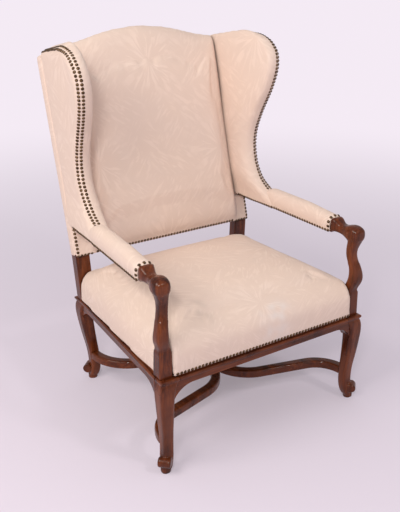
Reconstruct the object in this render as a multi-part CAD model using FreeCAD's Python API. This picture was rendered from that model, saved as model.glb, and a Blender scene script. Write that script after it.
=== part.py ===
"""An open-arm wing chair with a carved show-wood frame, built piece by piece.

Millimetres. +X is to the viewer's right, +Y to the rear, +Z up. The chair is
drawn about the middle of its seat frame and moved at the end, so that its
origin lies on the floor under the middle of its overall box. The right half is
drawn and the left half is its mirror image.
"""
import FreeCAD, Part
import math
import os
from FreeCAD import Vector

# Seat frame, in plan a trapezoid between the corners of its moulded ledge
SEAT_FRONT_WIDTH = 730.0
SEAT_REAR_WIDTH = 664.0
SEAT_DEPTH = 622.0
LEDGE_HEIGHT = 300.0
LEDGE_THICKNESS = 10.0
LEDGE_OVERHANG = 5.0
LEDGE_NOSE_RADIUS = 4.0
RAIL_THICKNESS = 42.0
RAIL_SHOW_HEIGHT = 18.0
RAIL_UPSTAND = 34.0
RAIL_REBATE = 4.0
RAIL_LAP = 20.0
BRACKET_RUN = 66.0
BRACKET_RADIUS = 72.0
TENON_LENGTH = 24.0
TENON_THICKNESS = 14.0
TENON_HEIGHT = 22.0
TENON_SHOULDER = 6.0
JOINT_CLEARANCE = 0.2
BLOCK_LEG = 62.0
BLOCK_HEIGHT = 26.0

# Legs: height, half width, inward lean and corner radius of each section.
# The rear legs sweep further inward towards the floor.
LEG_BLOCK = 54.0
LEG_TOP_RADIUS = 6.0
LEG_KNEE_DROP = 40.0
LEG_KNEE_HALF = 23.0
LEG_KNEE_LEAN = -12.0
LEG_KNEE_RADIUS = 9.0
LEG_SECTIONS = [
    (206.0, 21.0, -11.5, 9.0),
    (151.0, 18.5, -8.5, 8.0),
    (116.0, 17.0, -6.0, 7.5),
    (85.0, 16.5, -5.0, 7.5),
    (58.0, 16.5, -5.5, 7.5),
    (34.0, 16.5, -8.0, 7.5),
    (12.0, 14.5, -13.0, 7.0),
]
LEG_ANKLE_LEAN = -5.0
REAR_LEG_SWEEP = 17.0
FOOT_REACH = 15.0
FOOT_PAD_RADIUS = 15.0
FOOT_PAD_HEIGHT = 13.0
SCROLL_REACH = 22.0
SCROLL_HEIGHT = 37.0
SCROLL_RADIUS = 15.0
SCROLL_WIDTH = 38.0
SCROLL_LOBES = 3
SCROLL_GROOVE = 2.5

# Stretcher: two bowed members that meet in the middle
STRETCHER_HEIGHT = 92.0
STRETCHER_WIDTH = 30.0
STRETCHER_DEPTH = 27.0
STRETCHER_EDGE = 5.0
STRETCHER_CENTRE_Y = -14.0
STRETCHER_CENTRE_RADIUS = 125.0
STRETCHER_CENTRE_TURN = 75.0
STRETCHER_LEG_TURN = 80.0
STRETCHER_FLAT = 2.0
PEG_RADIUS = 5.0
PEG_LENGTH = 44.0
SPIGOT_RADIUS = 6.0
SPIGOT_LENGTH = 34.0

# Arm supports: height above the ledge, shift outward and rearward,
# half width, half depth and corner radius of each section
SUPPORT_INSET_X = 26.0
SUPPORT_INSET_Y = 36.0
SUPPORT_BLOCK_HALF_WIDTH = 21.5
SUPPORT_BLOCK_HALF_DEPTH = 21.5
SUPPORT_BLOCK_TAPER = 1.5
SUPPORT_BLOCK_HEIGHT = 76.0
SUPPORT_BLOCK_CHAMFER = 5.0
SUPPORT_SECTIONS = [
    (76.0, 0.0, 0.0, 19.5, 19.5, 9.0),
    (88.0, 1.0, -1.0, 18.0, 18.0, 9.0),
    (108.0, 8.0, -7.0, 18.5, 18.5, 10.0),
    (130.0, 10.0, -9.5, 18.5, 18.5, 11.0),
    (155.0, 7.0, -7.0, 16.5, 16.5, 10.0),
    (185.0, 0.0, 1.0, 15.0, 15.0, 8.0),
    (210.0, -2.5, 3.5, 15.0, 15.0, 8.0),
    (230.0, 0.0, 1.0, 17.0, 17.0, 9.0),
    (250.0, 4.0, -2.0, 19.0, 19.0, 11.0),
]
DOWEL_RADIUS = 8.0
DOWEL_FOOT = 10.0
DOWEL_HEAD = 30.0
DOWEL_RISE = 16.0

# Arms: a beam under the pad, then a carved hand that ends in a knuckle
ARM_REAR_X = 316.0
ARM_PAD_END_X = 338.0
ARM_BOTTOM_REAR = 257.0
ARM_BOTTOM_FRONT = 248.0
ARM_BEAM_HALF_WIDTH = 19.0
ARM_BEAM_HEIGHT = 28.0
ARM_BEAM_RADIUS = 5.0
ARM_PAD_END = 118.0
# distance before the pad's end, height above the arm's bottom there,
# half width, half height and corner radius of each section
HAND_SECTIONS = [
    (0.0, 25.0, 23.0, 22.0, 10.0),
    (14.0, 26.0, 22.0, 20.5, 12.0),
    (30.0, 20.0, 17.5, 16.5, 12.0),
    (45.0, 18.0, 18.0, 17.0, 12.0),
    (62.0, 18.0, 23.0, 22.0, 15.0),
    (80.0, 17.0, 25.5, 25.5, 18.0),
    (97.0, 16.0, 23.0, 22.5, 16.0),
    (107.0, 15.0, 14.0, 13.0, 10.0),
]
HAND_LEAN_OUT = 5.0
ARM_PAD_HALF_WIDTH = 27.0
ARM_PAD_REAR_HALF_WIDTH = 27.0
ARM_PAD_SIDE = 38.0
ARM_PAD_CROWN = 20.0

# Rear posts and leaning back; the lean starts at the bend
POST_WIDTH = 48.0
POST_DEPTH = 34.0
POST_FOOT_REAR = 9.0
POST_CORNER = 3.0
BACK_HALF_WIDTH = 338.0
BACK_LEAN = 15.0
BEND_HEIGHT = 147.0
BEND_SETBACK = 28.0
POST_LENGTH = 628.0
BACK_RAIL_HEIGHT = 48.0
BACK_RAIL_BOTTOM = 5.0
CREST_DEPTH = 62.0
CREST_PEAK = 701.0
CREST_MID = 687.0
CREST_MID_X = 131.0
CREST_DIP = 666.0
CREST_DIP_X = 212.0
CREST_SHOULDER = 657.0
CREST_CORNER = 633.0
BACK_PAD_HALF_WIDTH = 278.0
# distance in front of the frame and inset from the outline
BACK_PAD_SECTIONS = [(14.0, 0.0), (26.0, 5.0), (36.0, 20.0), (43.0, 50.0), (47.0, 95.0)]
BACK_SIDE_TOP = 98.0
BACK_SIDE_FRONT = 4.0
BACK_SIDE_ROUND = 3.0
OUTSIDE_BACK_BOTTOM = 4.0

# Wings: sloping slices from the arm to the top. Each has the height of its
# front edge and of its rear edge along the back, its reach in front of the
# back, its flare outward, the swell of its inner face and how far its outer
# side drops below its inner side.
WING_SLICES = [
    (78.0, 140.0, 242.0, -3.0, 4.0, 0.0),
    (116.0, 166.0, 196.0, -3.0, 8.0, 0.0),
    (160.0, 196.0, 163.0, -3.0, 12.0, 0.0),
    (232.0, 256.0, 146.0, 0.0, 14.0, 0.0),
    (304.0, 325.0, 160.0, 2.0, 16.0, 0.0),
    (370.0, 392.0, 203.0, 6.0, 18.0, 0.0),
    (437.0, 462.0, 260.0, 13.0, 18.0, 0.0),
    (496.0, 523.0, 294.0, 20.0, 16.0, 0.0),
    (545.0, 572.0, 300.0, 24.0, 14.0, 1.0),
    (583.0, 604.0, 283.0, 24.0, 12.0, 4.0),
    (610.0, 630.0, 261.0, 22.0, 9.0, 10.0),
    (630.0, 645.0, 232.0, 20.0, 6.0, 16.0),
    (646.0, 661.0, 196.0, 17.0, 4.0, 22.0),
]
WING_REAR_THICKNESS = 55.0
WING_EDGE_BAND = 50.0
WING_EDGE_SETBACK = 15.0
WING_ROLL_SETBACK = 8.0
WING_FRAME_THICKNESS = 18.0
WING_FRAME_DEPTH = 30.0
WING_FRAME_COVER = 9.0
WING_RAIL_HEIGHT = 30.0

# Seat upholstery: height above the ledge and inset from the seat outline
SEAT_EDGE = 6.0
SEAT_REAR_EDGE = 7.0
SEAT_REAR_FALL = 36.0
SEAT_CORNER_RADIUS = 22.0
SEAT_SECTIONS = [
    (1.0, 0.0), (45.0, -3.0), (78.0, 2.0), (104.0, 20.0), (124.0, 52.0), (139.0, 95.0),
    (149.0, 145.0), (154.5, 200.0), (156.5, 250.0),
]
COVER_THICKNESS = 2.0
NOTCH_CLEARANCE = 1.0
CANVAS_THICKNESS = 1.5
CANVAS_RISE = 66.0
CANVAS_SLOPE = 90.0
WEB_WIDTH = 60.0
WEB_THICKNESS = 2.0
SEAT_WEBS_ALONG = 5
SEAT_WEBS_ACROSS = 4
BACK_WEBS_UP = 5
BACK_WEBS_ACROSS = 4
BACK_WEB_THICKNESS = 1.5
SPRING_END_RADIUS = 36.0
SPRING_WAIST_RADIUS = 24.0
SPRING_COLUMNS = 3
SPRING_ROWS = 3
SPRING_PITCH_X = 150.0
SPRING_PITCH_Y = 130.0

# Dome-headed upholstery nails
NAIL_DIAMETER = 9.5
NAIL_RISE = 3.2
NAIL_PITCH = 11.4
NAIL_EDGE = 6.5
NAIL_SEAT = 0.3

X_AXIS = Vector(1, 0, 0)
Y_AXIS = Vector(0, 1, 0)
Z_AXIS = Vector(0, 0, 1)
ORIGIN = Vector(0, 0, 0)

front_half = SEAT_FRONT_WIDTH / 2
rear_half = SEAT_REAR_WIDTH / 2
front_y = -SEAT_DEPTH / 2
rear_y = SEAT_DEPTH / 2
ledge_bottom = LEDGE_HEIGHT - LEDGE_THICKNESS
rail_bottom = ledge_bottom - RAIL_SHOW_HEIGHT
rail_top = LEDGE_HEIGHT + RAIL_UPSTAND
half_block = LEG_BLOCK / 2
corner_to_leg = LEDGE_OVERHANG + half_block
front_leg = Vector(front_half - corner_to_leg, front_y + corner_to_leg, 0)
rear_leg = Vector(rear_half - corner_to_leg, rear_y - corner_to_leg, 0)
bend = Vector(0, rear_y - BEND_SETBACK, LEDGE_HEIGHT + BEND_HEIGHT)
post_face = POST_DEPTH / 2
pad_end_y = front_y + ARM_PAD_END
canvas_face = post_face + 2 * BACK_WEB_THICKNESS + CANVAS_THICKNESS
wing_rear = post_face + BACK_WEB_THICKNESS + JOINT_CLEARANCE
support_foot = Vector(front_half - SUPPORT_INSET_X, front_y + SUPPORT_INSET_Y, LEDGE_HEIGHT)
wing_side = BACK_HALF_WIDTH - WING_REAR_THICKNESS
far = 2 * SEAT_FRONT_WIDTH

nodes = {}


def box(x0, x1, y0, y1, z0, z1):
    """A block between two corners."""
    return Part.makeBox(x1 - x0, y1 - y0, z1 - z0, Vector(x0, y0, z0))


def rounded_polygon(corners, radius):
    """A closed wire through convex corners, each rounded by an arc."""
    arcs = []
    for index, corner in enumerate(corners):
        to_last = (corners[index - 1] - corner).normalize()
        to_next = (corners[(index + 1) % len(corners)] - corner).normalize()
        half_angle = to_last.getAngle(to_next) / 2
        middle_way = (to_last + to_next).normalize()
        run = radius / math.tan(half_angle)
        middle = corner + middle_way * (radius / math.sin(half_angle) - radius)
        arcs.append(Part.Arc(corner + to_last * run, middle, corner + to_next * run).toShape())
    edges = []
    for index, arc in enumerate(arcs):
        following = arcs[(index + 1) % len(arcs)]
        edges.append(arc)
        edges.append(Part.makeLine(arc.lastVertex().Point, following.firstVertex().Point))
    return Part.Wire(edges)


def rounded_rect(centre, across, along, half_across, half_along, radius):
    """A rectangle with round corners, in the plane of two directions."""
    signs = [(1, 1), (-1, 1), (-1, -1), (1, -1)]
    corners = [centre + across * (a * half_across) + along * (b * half_along) for a, b in signs]
    return rounded_polygon(corners, radius)


def loft(wires, ruled=False):
    """A closed solid through a row of closed wires."""
    return Part.makeLoft(wires, True, ruled)


def extruded(wire, direction):
    return Part.Face(wire).extrude(direction)


def biggest(shape):
    """The main solid of a cut, without the offcuts."""
    return max(shape.Solids, key=lambda solid: solid.Volume)


def mirrored(shape):
    return shape.mirror(ORIGIN, X_AXIS)


def both_sides(name, shape):
    """A right-hand piece and the left-hand one that mirrors it."""
    nodes[name + "_right"] = shape
    nodes[name + "_left"] = mirrored(shape)


def on_back(x, reach, height):
    """A point on the back while it stands upright, before it is leaned.

    Reach is measured forward from the middle of the frame's thickness.
    """
    return Vector(x, bend.y - reach, bend.z + height)


def back_box(x0, x1, reach0, reach1, height0, height1):
    low = on_back(x0, reach1, height0)
    high = on_back(x1, reach0, height1)
    return box(low.x, high.x, low.y, high.y, low.z, high.z)


def leaned(shape):
    """A shape drawn on the upright back, tipped to the back's lean."""
    tipped = shape.copy()
    tipped.rotate(bend, X_AXIS, -BACK_LEAN)
    return tipped


def level_edges(shape, x=None, y=None):
    """The level edges of a block that lie on the outer side at x or at y."""
    found = []
    for edge in shape.Edges:
        first, last = [vertex.Point for vertex in edge.Vertexes]
        on_x = x is not None and abs(first.x - x) < 0.01 and abs(last.x - x) < 0.01
        on_y = y is not None and abs(first.y - y) < 0.01 and abs(last.y - y) < 0.01
        if abs(first.z - last.z) < 0.01 and (on_x or on_y):
            found.append(edge)
    return found


def seat_notches(clearance):
    """Room in the seat's corners for the arm supports and the rear posts."""
    swell = max(section[2] + section[4] for section in SUPPORT_SECTIONS)
    width = SUPPORT_BLOCK_HALF_WIDTH + clearance
    depth = max(SUPPORT_BLOCK_HALF_DEPTH, swell) + clearance
    top = 2 * LEDGE_HEIGHT
    front = box(support_foot.x - width, far, -far, support_foot.y + depth, LEDGE_HEIGHT, top)
    post_x = rear_half - LEDGE_OVERHANG - POST_WIDTH - clearance
    post_y = rear_y - LEDGE_OVERHANG - POST_FOOT_REAR - POST_DEPTH - clearance
    rear = box(post_x, far, post_y, far, LEDGE_HEIGHT, top)
    return [front, rear, mirrored(front), mirrored(rear)]


# Legs with their scroll feet, and the rear posts
def ledge_cap(centre, side_y):
    """The stretch of moulded ledge on top of a leg, with its pointed corner."""
    x1 = centre.x + half_block + LEDGE_OVERHANG
    inner = centre.y - side_y * half_block
    outer = centre.y + side_y * (half_block + LEDGE_OVERHANG)
    cap = box(centre.x - half_block, x1, min(inner, outer), max(inner, outer), ledge_bottom, LEDGE_HEIGHT)
    return cap.makeFillet(LEDGE_NOSE_RADIUS, level_edges(cap, x1, outer))


def on_leg(centre, side_y, reach, height):
    """A point a given reach outward from a leg's top, with the rear legs' sweep."""
    sweep = REAR_LEG_SWEEP * (1 - height / ledge_bottom) if side_y > 0 else 0.0
    out = reach - sweep
    return Vector(centre.x + out, centre.y + side_y * out, height)


def leg(centre, side_y):
    """One right-hand leg; side_y is -1 at the front and 1 at the rear."""
    top = [(ledge_bottom, half_block, 0.0, LEG_TOP_RADIUS)]
    knee = [(ledge_bottom - LEG_KNEE_DROP, LEG_KNEE_HALF, LEG_KNEE_LEAN, LEG_KNEE_RADIUS)]
    wires = []
    for height, half, inward, radius in top + knee + LEG_SECTIONS:
        middle = on_leg(centre, side_y, -inward, height)
        wires.append(rounded_rect(middle, X_AXIS, Y_AXIS, half, half, radius))
    sideways = Vector(-side_y, 1, 0).normalize()
    lobe = SCROLL_WIDTH / SCROLL_LOBES
    start = on_leg(centre, side_y, SCROLL_REACH, SCROLL_HEIGHT) - sideways * (SCROLL_WIDTH / 2)
    core_radius = SCROLL_RADIUS - SCROLL_GROOVE
    pieces = [Part.makeCylinder(core_radius, SCROLL_WIDTH, start, sideways)]
    for index in range(SCROLL_LOBES):
        base = start + sideways * (lobe * index + SCROLL_GROOVE / 2)
        pieces.append(Part.makeCylinder(SCROLL_RADIUS, lobe - SCROLL_GROOVE, base, sideways))
    pad_base = on_leg(centre, side_y, FOOT_REACH, 0.0)
    pieces.append(Part.makeCylinder(FOOT_PAD_RADIUS, FOOT_PAD_HEIGHT, pad_base, Z_AXIS))
    return loft(wires).fuse(pieces + [ledge_cap(centre, side_y)]).removeSplitter()


def rear_post():
    """The post from the leg block through the bend to the top of the back."""
    foot_x = rear_half - LEDGE_OVERHANG - POST_WIDTH / 2
    foot_y = rear_y - LEDGE_OVERHANG - POST_FOOT_REAR - post_face
    top_x = BACK_HALF_WIDTH - COVER_THICKNESS - JOINT_CLEARANCE - POST_WIDTH / 2
    angle = math.radians(BACK_LEAN)
    bend_along = Vector(0, math.cos(angle / 2), -math.sin(angle / 2))
    top_along = Vector(0, math.cos(angle), -math.sin(angle))
    top = bend + Vector(top_x, POST_LENGTH * math.sin(angle), POST_LENGTH * math.cos(angle))
    places = [
        (Vector(foot_x, foot_y, ledge_bottom), Y_AXIS, post_face),
        (bend + Vector(top_x, 0, 0), bend_along, post_face / math.cos(angle / 2)),
        (top, top_along, post_face),
    ]
    half_width = POST_WIDTH / 2
    wires = [rounded_rect(at, X_AXIS, along, half_width, half, POST_CORNER) for at, along, half in places]
    return loft(wires, True)


front_leg_blank = leg(front_leg, -1)
post_blank = rear_post()
rear_post_blank = leg(rear_leg, 1).fuse(post_blank).removeSplitter()
right_legs = [front_leg_blank, rear_post_blank]
all_legs = right_legs + [mirrored(blank) for blank in right_legs]


# Seat rails with their ledge, upstand, brackets and tenons
def rail_blank(length):
    """A rail along +X with its outer face on y = 0 and its body behind it."""
    centre_z = rail_bottom - BRACKET_RADIUS

    def bracket(run):
        return centre_z + math.sqrt(BRACKET_RADIUS ** 2 - run ** 2)

    runs = [BRACKET_RUN, BRACKET_RUN / 2, 0.0]
    start = [Vector(BRACKET_RUN - run, 0, bracket(run)) for run in runs]
    end = [Vector(length - point.x, 0, point.z) for point in reversed(start)]
    upper = [end[2], Vector(length, 0, ledge_bottom), Vector(0, 0, ledge_bottom), start[0]]
    edges = [Part.Arc(*start).toShape(), Part.makeLine(start[2], end[0]), Part.Arc(*end).toShape()]
    edges += Part.makePolygon(upper).Edges
    show = extruded(Part.Wire(edges), Vector(0, RAIL_THICKNESS, 0))
    ledge = box(0, length, -LEDGE_OVERHANG, RAIL_THICKNESS, ledge_bottom, LEDGE_HEIGHT)
    ledge = ledge.makeFillet(LEDGE_NOSE_RADIUS, level_edges(ledge, y=-LEDGE_OVERHANG))
    upstand = box(RAIL_LAP, length - RAIL_LAP, RAIL_REBATE, RAIL_THICKNESS, LEDGE_HEIGHT, rail_top)
    return show.fuse([ledge, upstand]).removeSplitter()


def rail_tenons(length, clearance):
    """The two tenons of a rail, or with a clearance the mortises for them."""
    middle = RAIL_THICKNESS / 2
    half = TENON_THICKNESS / 2 + clearance
    top = ledge_bottom - TENON_SHOULDER + clearance
    bottom = ledge_bottom - TENON_SHOULDER - TENON_HEIGHT - clearance
    reach = TENON_LENGTH + clearance - RAIL_LAP
    first = box(-reach, RAIL_LAP, middle - half, middle + half, bottom, top)
    last = box(length - RAIL_LAP, length + reach, middle - half, middle + half, bottom, top)
    return first.fuse(last)


def seat_rail(start, end):
    """A rail between two points on its outer face, with its mortises."""
    run = end - start
    way = Vector(run).normalize()
    length = run.Length + 2 * RAIL_LAP
    turn = math.degrees(math.atan2(way.y, way.x))
    place = FreeCAD.Placement(start - way * RAIL_LAP, FreeCAD.Rotation(Z_AXIS, turn))
    made = []
    for shape in (rail_blank(length), rail_tenons(length, 0), rail_tenons(length, JOINT_CLEARANCE)):
        shape.Placement = place.multiply(shape.Placement)
        made.append(shape)
    blank, tenons, mortises = made
    body = biggest(blank.cut(all_legs + seat_notches(JOINT_CLEARANCE)))
    return biggest(body.fuse(tenons)).removeSplitter(), mortises


front_face = front_y + LEDGE_OVERHANG
rear_face = rear_y - LEDGE_OVERHANG
front_side = front_half - LEDGE_OVERHANG
rear_side = rear_half - LEDGE_OVERHANG
front_inner = front_leg.x - half_block
rear_inner = rear_leg.x - half_block
front_start = Vector(-front_inner, front_face, 0)
front_rail, front_mortises = seat_rail(front_start, Vector(front_inner, front_face, 0))
rear_start = Vector(rear_inner, rear_face, 0)
rear_rail, rear_mortises = seat_rail(rear_start, Vector(-rear_inner, rear_face, 0))
side_start = Vector(front_side, front_leg.y + half_block, 0)
side_end = Vector(rear_side, rear_leg.y - half_block, 0)
side_rail, side_mortises = seat_rail(side_start, side_end)
side_rail = biggest(side_rail.cut([front_rail, rear_rail]))
nodes["front_seat_rail"] = front_rail
nodes["rear_seat_rail"] = rear_rail
nodes["seat_rail_right"] = side_rail
nodes["seat_rail_left"] = mirrored(side_rail)
all_rails = [front_rail, rear_rail, side_rail, mirrored(side_rail)]


def corner_block(centre, side_y):
    """A glued block across the inside of one right-hand seat corner."""
    x1 = centre.x + half_block - RAIL_THICKNESS / 2
    y1 = centre.y + side_y * (half_block - RAIL_THICKNESS / 2)
    span = BLOCK_LEG + RAIL_THICKNESS
    corners = [Vector(x1, y1, 0), Vector(x1 - span, y1, 0), Vector(x1, y1 - side_y * span, 0)]
    block = extruded(Part.makePolygon(corners + corners[:1]), Z_AXIS * BLOCK_HEIGHT)
    block.translate(Z_AXIS * (LEDGE_HEIGHT - BLOCK_HEIGHT))
    return biggest(block.cut(all_legs + all_rails))


right_blocks = [corner_block(front_leg, -1), corner_block(rear_leg, 1)]
nodes["seat_corner_blocks"] = Part.makeCompound(right_blocks + [mirrored(block) for block in right_blocks])


# Stretchers
def stretcher_half(ankle, side_y):
    """Half of a bowed member, from the middle of the chair to one ankle.

    An arc leaves the middle, a straight run follows, and a second arc turns
    into the leg. The run and the second radius follow from the ankle's place.
    """
    centre_x = STRETCHER_WIDTH / 2 - STRETCHER_FLAT
    first = math.radians(STRETCHER_CENTRE_TURN)
    slope = math.radians(90.0 - STRETCHER_CENTRE_TURN)
    last = slope + math.radians(STRETCHER_LEG_TURN)
    left_x = ankle.x - centre_x - STRETCHER_CENTRE_RADIUS * (1 - math.cos(first))
    left_y = side_y * (ankle.y - STRETCHER_CENTRE_Y) - STRETCHER_CENTRE_RADIUS * math.sin(first)
    share_x = math.sin(last) - math.sin(slope)
    share_y = math.cos(slope) - math.cos(last)
    run = (left_x * share_y - left_y * share_x) / (math.cos(slope) * share_y - math.sin(slope) * share_x)
    radius = (left_x - run * math.cos(slope)) / share_x

    def edge_line(offset):
        """The member's line moved sideways, as two arcs with a line between."""
        def at(x, y, heading):
            return Vector(x - offset * math.sin(heading), side_y * (y + offset * math.cos(heading)), 0)

        def on_first(turned):
            x = centre_x + STRETCHER_CENTRE_RADIUS * (1 - math.cos(turned))
            return at(x, STRETCHER_CENTRE_RADIUS * math.sin(turned), math.pi / 2 - turned)

        def on_last(turned):
            heading = slope + turned
            x = end_x + radius * (math.sin(heading) - math.sin(slope))
            y = end_y + radius * (math.cos(slope) - math.cos(heading))
            return at(x, y, heading)

        start_x = centre_x + STRETCHER_CENTRE_RADIUS * (1 - math.cos(first))
        start_y = STRETCHER_CENTRE_RADIUS * math.sin(first)
        end_x = start_x + run * math.cos(slope)
        end_y = start_y + run * math.sin(slope)
        turn = math.radians(STRETCHER_LEG_TURN)
        arc = Part.Arc(on_first(0), on_first(first / 2), on_first(first))
        bend_in = Part.Arc(on_last(0), on_last(turn / 2), on_last(turn))
        return [arc.toShape(), Part.makeLine(on_first(first), on_last(0)), bend_in.toShape()]

    half = STRETCHER_WIDTH / 2
    one_side = edge_line(half)
    other_side = edge_line(-half)
    ends = [(one_side[0].firstVertex(), other_side[0].firstVertex())]
    ends.append((one_side[2].lastVertex(), other_side[2].lastVertex()))
    caps = [Part.makeLine(first_end.Point, last_end.Point) for first_end, last_end in ends]
    outline = Part.Wire(Part.__sortEdges__(one_side + other_side + caps))
    solid = extruded(outline, Z_AXIS * STRETCHER_DEPTH)
    solid.translate(Vector(0, STRETCHER_CENTRE_Y, STRETCHER_HEIGHT - STRETCHER_DEPTH / 2))
    heading = Vector(math.cos(last), side_y * math.sin(last), 0)
    return solid, heading


front_ankle = on_leg(front_leg, -1, -LEG_ANKLE_LEAN, STRETCHER_HEIGHT)
rear_ankle = on_leg(rear_leg, 1, -LEG_ANKLE_LEAN, STRETCHER_HEIGHT)
front_half_bow, front_heading = stretcher_half(front_ankle, -1)
rear_half_bow, rear_heading = stretcher_half(rear_ankle, 1)
bow = front_half_bow.fuse(rear_half_bow).removeSplitter()
bow_top = STRETCHER_HEIGHT + STRETCHER_DEPTH / 2
top_edges = [edge for edge in bow.Edges if edge.BoundBox.ZMin > bow_top - 0.01]
moulded = [edge for edge in top_edges if edge.Length > STRETCHER_WIDTH + 1]
bow = bow.makeFillet(STRETCHER_EDGE, moulded)
bow = biggest(bow.cut(box(-far, 0, -far, far, 0, LEDGE_HEIGHT)))
bow = biggest(bow.cut(right_legs))


def spigot(ankle, heading, radius):
    return Part.makeCylinder(radius, SPIGOT_LENGTH, ankle - heading * SPIGOT_LENGTH, heading)


bow_ends = [(front_ankle, front_heading), (rear_ankle, rear_heading)]
sockets = [spigot(ankle, heading, SPIGOT_RADIUS + JOINT_CLEARANCE) for ankle, heading in bow_ends]
bow = bow.fuse([spigot(ankle, heading, SPIGOT_RADIUS) for ankle, heading in bow_ends]).removeSplitter()
peg_start = Vector(-PEG_LENGTH / 2, STRETCHER_CENTRE_Y, STRETCHER_HEIGHT)
peg = Part.makeCylinder(PEG_RADIUS, PEG_LENGTH, peg_start, X_AXIS)
both_sides("stretcher", bow.cut(peg))
nodes["stretcher_peg"] = peg


# Arms with their carved hands, and the supports under them
def arm_share(y):
    """How far forward a point lies, from 0 at the rear to 1 at the pad's end."""
    return (rear_y - y) / (rear_y - pad_end_y)


def arm_x(y):
    return ARM_REAR_X + (ARM_PAD_END_X - ARM_REAR_X) * arm_share(y)


def arm_bottom(y):
    return LEDGE_HEIGHT + ARM_BOTTOM_REAR + (ARM_BOTTOM_FRONT - ARM_BOTTOM_REAR) * arm_share(y)


def arm_beam():
    wires = []
    half_width = ARM_BEAM_HALF_WIDTH
    half_height = ARM_BEAM_HEIGHT / 2
    for y in (rear_y, pad_end_y):
        centre = Vector(arm_x(y), y, arm_bottom(y) + half_height)
        wires.append(rounded_rect(centre, X_AXIS, Z_AXIS, half_width, half_height, ARM_BEAM_RADIUS))
    return loft(wires, True)


def arm_hand():
    wires = []
    length = HAND_SECTIONS[-1][0]
    for ahead, rise, half_width, half_height, radius in HAND_SECTIONS:
        x = ARM_PAD_END_X + HAND_LEAN_OUT * ahead / length
        centre = Vector(x, pad_end_y - ahead, LEDGE_HEIGHT + ARM_BOTTOM_FRONT + rise)
        wires.append(rounded_rect(centre, X_AXIS, Z_AXIS, half_width, half_height, radius))
    return loft(wires)


def support_block():
    """The square block at the support's foot, its corners chamfered."""
    wires = []
    for height, taper in ((0.0, 0.0), (SUPPORT_BLOCK_HEIGHT, SUPPORT_BLOCK_TAPER)):
        wide = SUPPORT_BLOCK_HALF_WIDTH - taper
        deep = SUPPORT_BLOCK_HALF_DEPTH - taper
        flat_x = wide - SUPPORT_BLOCK_CHAMFER
        flat_y = deep - SUPPORT_BLOCK_CHAMFER
        rear = [(wide, flat_y), (flat_x, deep), (-flat_x, deep), (-wide, flat_y)]
        front = [(-x, -y) for x, y in rear]
        points = [support_foot + Vector(x, y, height) for x, y in rear + front]
        wires.append(Part.makePolygon(points + points[:1]))
    return loft(wires, True)


def arm_support():
    wires = []
    for height, outward, rearward, half_width, half_depth, radius in SUPPORT_SECTIONS:
        centre = support_foot + Vector(outward, rearward, height)
        wires.append(rounded_rect(centre, X_AXIS, Y_AXIS, half_width, half_depth, radius))
    top = support_foot + Vector(outward, rearward, height)
    return loft(wires).fuse(support_block()), top


behind_posts = leaned(back_box(-far, far, -far, post_face, -far, far))
behind_webs = leaned(back_box(-far, far, -far, wing_rear, -far, far))
arm_blank = biggest(arm_beam().fuse(arm_hand()).cut(behind_posts))
support_blank, support_top = arm_support()
support_body = biggest(support_blank.cut(arm_blank))


def dowels(clearance):
    """The dowels of a support: one into the leg below, one into the hand above."""
    made = []
    for middle, sunk in ((support_foot, DOWEL_FOOT), (support_top, DOWEL_HEAD)):
        start = middle - Z_AXIS * (sunk + clearance)
        length = sunk + DOWEL_RISE + 2 * clearance
        made.append(Part.makeCylinder(DOWEL_RADIUS + clearance, length, start, Z_AXIS))
    return made


dowel_holes = dowels(JOINT_CLEARANCE)
right_dowels = dowels(0)
both_sides("arm_support", biggest(support_body.cut(dowel_holes)))
both_sides("arm", biggest(arm_blank.cut(dowel_holes[1])))
nodes["arm_dowels"] = Part.makeCompound(right_dowels + [mirrored(dowel) for dowel in right_dowels])

front_leg_cuts = [front_mortises, side_mortises, dowel_holes[0]] + sockets
rear_post_cuts = [rear_mortises, side_mortises] + sockets
both_sides("front_leg", biggest(front_leg_blank.cut(front_leg_cuts)))
rear_posts = biggest(rear_post_blank.cut(rear_post_cuts))


# Frame of the back
def back_outline(half_width, bottom, inset, reach):
    """The outline of the back with its serpentine top, at one reach."""
    side = half_width - inset
    shoulder_x = min(BACK_PAD_HALF_WIDTH - inset, side)
    shoulder = on_back(shoulder_x, reach, CREST_SHOULDER - inset)
    dip = on_back(CREST_DIP_X - inset / 2, reach, CREST_DIP - inset)
    middle = on_back(CREST_MID_X - inset / 4, reach, CREST_MID - inset)
    peak = on_back(0, reach, CREST_PEAK - inset)
    corner = on_back(side, reach, bottom + inset)

    def over(point):
        return Vector(-point.x, point.y, point.z)

    edges = [Part.makeLine(over(corner), corner)]
    rising = [corner, on_back(side, reach, CREST_CORNER - inset), shoulder]
    if side - shoulder_x < 0.01:
        rising = [corner, shoulder]
    edges += Part.makePolygon(rising).Edges
    edges.append(Part.Arc(shoulder, dip, middle).toShape())
    edges.append(Part.Arc(middle, peak, over(middle)).toShape())
    edges.append(Part.Arc(over(middle), over(dip), over(shoulder)).toShape())
    edges += Part.makePolygon([over(point) for point in reversed(rising)]).Edges
    return Part.Wire(edges)


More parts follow.
